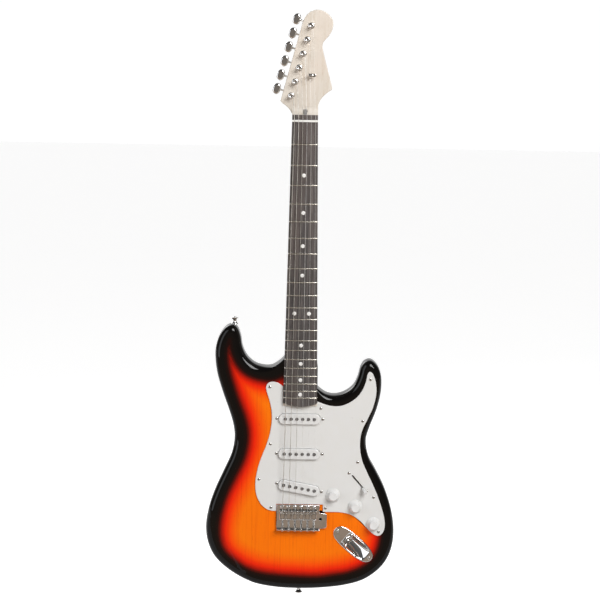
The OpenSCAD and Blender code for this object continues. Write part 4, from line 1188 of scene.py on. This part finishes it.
def make_switch():
    lever, m = Part(), at(*SWITCH, 16, SLOT_TURN) @ Matrix.Rotation(math.radians(LEVER_REST), 4, "Z")
    lever.add(box((-2.4, -30, -0.7), (2.4, -4, 0.7), 0.2), m, 1)
    lever.add(moved(prism(circle((0, 0), 8, 40), -0.7, 0.7, 0.15, 0.15, [circle((0, 0), 1.6)]),
                    Matrix.Rotation(math.pi / 2, 4, "X")), m, 1)
    rings = []
    for y, a, b in ((-26, 2.5, 2.0), (-26.6, 2.9, 2.3), (-30, 3.1, 2.5), (-35, 3.5, 2.8), (-37.4, 3.5, 2.8),
                    (-38.3, 3.0, 2.3), (-38.5, 2.3, 1.7)):
        rings.append([(a * squarish(math.cos(t), 0.6), y, b * squarish(math.sin(t), 0.6)) for t in around(24)])
    lever.add(loft(rings), m)
    show(lever, "switch_lever_tip", "switch", ["switch_lever"], [KNOB, STEEL])


for knob_node in KNOBS:
    make_knob(knob_node)
make_switch()

# ---- Output jack ----
BOAT_HALF = [(0, 0), (2.2, 7), (9, 12), (22, 14.6), (40, 15.2), (58, 14.4), (71, 11.4), (77.8, 6.6)]
BOAT_LENGTH, WALL_TOP, WALL_DEPTH, DISH_END = 80, 21.5, 22, 70


def boat_width(s):
    loop = closed_curve(BOAT_HALF + [(BOAT_LENGTH, 0)] + [(a, -b) for a, b in BOAT_HALF[:0:-1]], 16)
    upper = [p for p in loop if p[1] >= 0]
    return float(np.interp(s, [p[0] for p in sorted(upper)], [p[1] for p in sorted(upper)]))


def jack_matrix():
    return at(*JACK_START, 0, JACK_TURN)


def dish_depth(s):
    foot = WALL_TOP + WALL_DEPTH * math.sin(math.radians(JACK_TILT))
    deep = WALL_DEPTH * math.cos(math.radians(JACK_TILT))
    if s <= WALL_TOP or s >= DISH_END:
        return 0.0
    if s < foot:
        return deep * (s - WALL_TOP) / (foot - WALL_TOP)
    return deep * (1 - (s - foot) / (DISH_END - foot)) ** 0.8


def make_jack_plate():
    creases = [21.2, 21.5, 35.3, 35.7, 36.3]
    stations = sorted([BOAT_LENGTH * (1 - math.cos(math.pi * k / 56)) / 2 for k in range(57)] + creases)
    across = 28
    rings = []
    for s in stations:
        half = max(boat_width(s), 0.02)
        inner = max(half - 2.2, 0.01)
        rim = -1.5 + 1.4 * max(0.0, 1 - s / 0.9) ** 2 + 1.4 * max(0.0, 1 - (BOAT_LENGTH - s) / 0.9) ** 2
        row = []
        for k in range(across + 1):
            t = -math.cos(math.pi * k / across) * half
            reach = abs(t) / inner
            cup = 1 - min(reach, 1) ** 3
            lip = 1.35 * max(0.0, 1 - (half - abs(t)) / 0.9) ** 2
            row.append((s, min(rim + dish_depth(s) * cup + lip, 19), t))
        rings.append(row)
    obj = Part().add(bridge(rings, False), jack_matrix()).thing("jack_dish", 50)
    solid = obj.modifiers.new("sheet", "SOLIDIFY")
    solid.thickness, solid.offset = 1.0 * MM, 0
    show(applied(obj, 50), "jack_dish", ROOT, ["jack_plate"], [CHROME])


def make_jack():
    tilt = math.radians(JACK_TILT)
    wall = Vector((WALL_TOP + 11 * math.sin(tilt), -1 + 11 * math.cos(tilt), 0))
    axis = Vector((math.cos(tilt), -math.sin(tilt), 0))
    part = Part()
    m = jack_matrix() @ along(wall, axis)
    part.add(lathe([(3.18, 10), (3.18, -2.1), (3.4, -2.4), (4.4, -2.4), (4.7, -2.1), (4.7, 1.9), (7.2, 2),
                    (7.2, 21), (6.6, 22), (3.18, 22), (3.18, 10)], 40), m)
    part.add(prism(circle((0, 0), 6.9, 6), -1.8, -0.35, 0.25, 0, [circle((0, 0), 4.6)]), m)
    part.add(lathe([(4.7, -0.05), (4.7, -0.35), (6.6, -0.35), (6.8, -0.2), (6.8, -0.05), (4.7, -0.05)], 40), m)
    show(part, "jack_socket", ROOT, ["output_jack"], [SCREW])


make_jack_plate()
make_jack()


# ---- Tremolo ----
PIVOTS = [(k - 2.5) * 10.8 for k in range(6)]
INTONATION_Y, HEIGHT_SCREWS = -10, (-3, 3)
BLOCK_SCREWS, BLOCK_SCREW_Z = (-24, 0, 24), BLOCK_Z + 5.2


def make_plate():
    half, front = 35.8, high("tremolo_plate").z
    outline = [(-half, front), (-half, PLATE_REAR + 1.5), (half, PLATE_REAR + 1.5), (half, -677)]
    outline += [(46, -675.6), (48, -673.6), (48, -653), (46.4, -651.2), (half + 0.6, -650), (half, -649.2)]
    outline += [(half, front)]
    holes = [circle((x, PIVOT_Z), 2.1, 16) for x in PIVOTS]
    holes += [circle((bridge_x(s), BLOCK_Z), 2.3, 16) for s in range(1, 7)]
    arm = (37.5, -660.5)
    part = Part().add(prism(outline, PLATE_TOP, PIVOT_Y, 0.5, 0.2, holes + [circle(arm, 2.5)]))
    rings = []
    for x in (-half, -half + 0.5, half - 0.5, half):
        r = 0.0 if abs(x) < half else 0.4
        bend = [(-2.8, 4.2), (-2.8, 2), (-3.5, 0.6), (-4.6, r), (-13.2, r), (-13.8, 0.5 + r / 2),
                (-13.8, 1.7 - r / 2), (-13.2, 2.2 - r), (-6.2, 2.2 - r), (-5.4, 2.8), (-5.2, 4.2)]
        rings.append([(x, y, PLATE_REAR + h) for y, h in bend])
    part.add(loft(rings))
    show(part, "bridge_plate", "tremolo", ["tremolo_plate"], [CHROME])


def hex_socket(part, place, r, top, bottom, paint):
    """A small threaded rod with a socket in its end, upright at (x, z)."""
    x, z = place
    profile = [(0, top + 0.8), (r * 0.55, top + 0.75), (r * 0.55, top + 0.1), (r * 0.8, top),
               (r, top + 0.2), (r, bottom), (0, bottom)]
    part.add(lathe(profile, 18), at(x, z), paint)
    coil = helix((x, top + 0.4, z), (x, bottom - 0.3, z), r, (bottom - top) / 0.7, 9)
    part.add(sweep(coil, 0.12, 5), None, paint)


def make_saddle(s):
    x, part = bridge_x(s), Part()
    top = SADDLE_TOP + crown(x)
    front, half = SADDLE_Z + 4, BRIDGE_PITCH / 2 - 0.3
    rear = SADDLE_Z - 12
    screw_z = SADDLE_Z - 0.4
    holes = [round_rect(x - 1.3, rear + 2.6, x + 1.3, screw_z - 1.5, 1.2)]
    holes += [circle((x + d, screw_z), 1.2, 16) for d in HEIGHT_SCREWS]
    part.add(prism(round_rect(x - half, rear, x + half, front, 1.2), top, top + 2, 1.6, 0.2, holes, 6))
    rings = []
    for d in (-half, -half + 0.35, half - 0.35, half):
        r = 0.25 if abs(d) == half else 0.0
        bend = [(top + 0.9, front - 0.1), (top + 0.25 + r, front - 0.6), (top + 0.9, front - 1.9),
                (top + 3.6, front - 1.7 - r), (top + 3.9, front - 1.2), (top + 3.6, front - 0.1 - r)]
        rings.append([(x + d, y, z) for y, z in bend])
    part.add(loft(rings))
    upright = [(x + a, b) for a, b in round_rect(-half, 7.4, half, -top - 0.6, 0.8)]
    wall = prism(upright, rear, rear + 2, 0.3, 0.3, [circle((x, -INTONATION_Y), 1.5, 20)])
    part.add(([(p, -r, q) for p, q, r in wall[0]], wall[1]))
    for d in HEIGHT_SCREWS:
        hex_socket(part, (x + d, screw_z), 1.15, top - 1.2, PLATE_TOP - 0.1, 1)
    show(part, f"string_saddle_{s}", f"saddle_{s}_body", [f"saddle_{s}"], [CHROME, SCREW])
    coil = helix((x, INTONATION_Y, PLATE_REAR + 2.6), (x, INTONATION_Y, rear - 0.4), 1.8, 6, 14)
    spring = Part().add(sweep(coil, 0.28, 8))
    obj = show(spring, f"saddle_spring_{s}", None, ["intonation_springs"], [STEEL])
    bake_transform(obj)


def make_bridge_screws():
    screws, pivots, flats = Part(), Part(), Part()
    head = cross_head(2.4, 1.1, 0.5)
    for s in range(1, 7):
        x = bridge_x(s)
        screws.add(head, along((x, INTONATION_Y, PLATE_REAR), (0, 0, -1)))
        thread(screws, (x, INTONATION_Y, PLATE_REAR), (0, 0, 1), -7.5 + SADDLE_Z - PLATE_REAR, 1.15, 0.7)
    show(screws, "intonation_screw_set", "tremolo", ["intonation_screws"], [SCREW])
    for k, x in enumerate(PIVOTS):
        screw(pivots, (x, PIVOT_Z), -6.5, 23.4, 1.55, PIVOT_HEAD, turn=43 * k)
    show(pivots, "pivot_screw_set", ROOT, ["tremolo_pivot_screws"], [CHROME])
    for x in BLOCK_SCREWS:
        head = [(0, 1.1), (2, 1.1), (2, 0.2), (0, 0.15)]
        flats.add(lathe([(r, PLATE_TOP + h) for r, h in head], 24), at(x, BLOCK_SCREW_Z))
        thread(flats, (x, PLATE_TOP + 1, BLOCK_SCREW_Z), (0, 1, 0), 13, 1.15)
    show(flats, "block_screw_set", "tremolo", ["block_screws"], [SCREW])


def make_springs():
    part = Part()
    depth, start, end = 34, low("tremolo_springs").z, high("tremolo_springs").z
    for x in (-20, 0, 20):
        coil = helix((x, depth, start + 4), (x, depth, end - 4), 3.5, 34, 12)
        hooks = [Vector((x, depth, z)) for z in (start, start + 2, end - 2, end)]
        part.add(sweep(hooks[:2] + coil + hooks[2:], 0.5, 7))
    obj = show(part, "long_springs", None, ["tremolo_springs"], [STEEL])
    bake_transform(obj)


make_plate()
for number in range(1, 7):
    make_saddle(number)
make_bridge_screws()
make_springs()


# ---- Back and strap buttons ----
def make_back():
    plate = prism(round_rect(-25.5, -463.5, 25.5, -399.5, 3), THICK, THICK + 1.6, 0, 0.6,
                  [circle(p, 2.4, 16) for p in NECK_SCREWS])
    show(Part().add(plate), "heel_plate", ROOT, ["neck_plate"], [CHROME])
    screws = Part()
    for i, p in enumerate(NECK_SCREWS):
        screw(screws, p, THICK + 1.6, THICK - 2.4, 1.95, NECK_HEAD, True, 33 * i)
    show(screws, "heel_screws", ROOT, ["neck_screws"], [CHROME])
    slots = [stadium((bridge_x(s), BLOCK_Z - 7), (bridge_x(s), BLOCK_Z + 7), 3) for s in range(1, 7)]
    cover = prism(round_rect(-45, -696, 45, -540, 7, 8), THICK, THICK + 2, 0, 0.9,
                  slots + [circle(p, 1.5, 16) for p in COVER_SCREWS])
    show(Part().add(cover), "spring_cover", ROOT, ["back_cover"], [GUARD])


BUTTON_PROFILE = [(0, 0.0), (5.8, 0.0), (5.7, 0.8), (5.2, 1.6), (3.9, 3), (3.4, 4.4), (3.5, 6), (4.4, 8),
                  (5.8, 9), (6.35, 9.7), (6.4, 10.4), (5.9, 11.1), (5, 11.4), (3.8, 11.35), (3.4, 10.8),
                  (0, 10.8)]
BUTTON_Y, BUTTON_SEAT = 22, 10.8
BUTTONS = [(-111, -337, 1), (3, -782.5, -1)]  # x, z and which way along z each faces


def make_strap_buttons():
    buttons, screws = Part(), Part()
    head = cross_head(3.2, 1.4, 0.3)
    for x, z, way in BUTTONS:
        buttons.add(lathe([(r, -h) for r, h in BUTTON_PROFILE], 40), along((x, BUTTON_Y, z), (0, 0, way)))
        screws.add(head, along((x, BUTTON_Y, z + way * BUTTON_SEAT), (0, 0, way)))
        thread(screws, (x, BUTTON_Y, z + way * 0.5), (0, 0, -way), 20.5, 1.75)
    show(buttons, "strap_button_pair", ROOT, ["strap_buttons"], [CHROME])
    show(screws, "strap_screw_pair", ROOT, ["strap_button_screws"], [SCREW])


make_back()
make_strap_buttons()

# ---- CAD nodes that stay, inside the guitar ----
KEPT = {
    "truss_rod": STEEL, "spring_claw": STEEL, "claw_screws": SCREW, "switch_frame": STEEL, "pot_cases": STEEL,
    "wiring": CLOTH, "tremolo_block": STEEL, "pickup_coils": BLACK,
}
for node, finish in KEPT.items():
    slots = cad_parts[node].data.materials
    slots.clear()
    slots.append(finish)
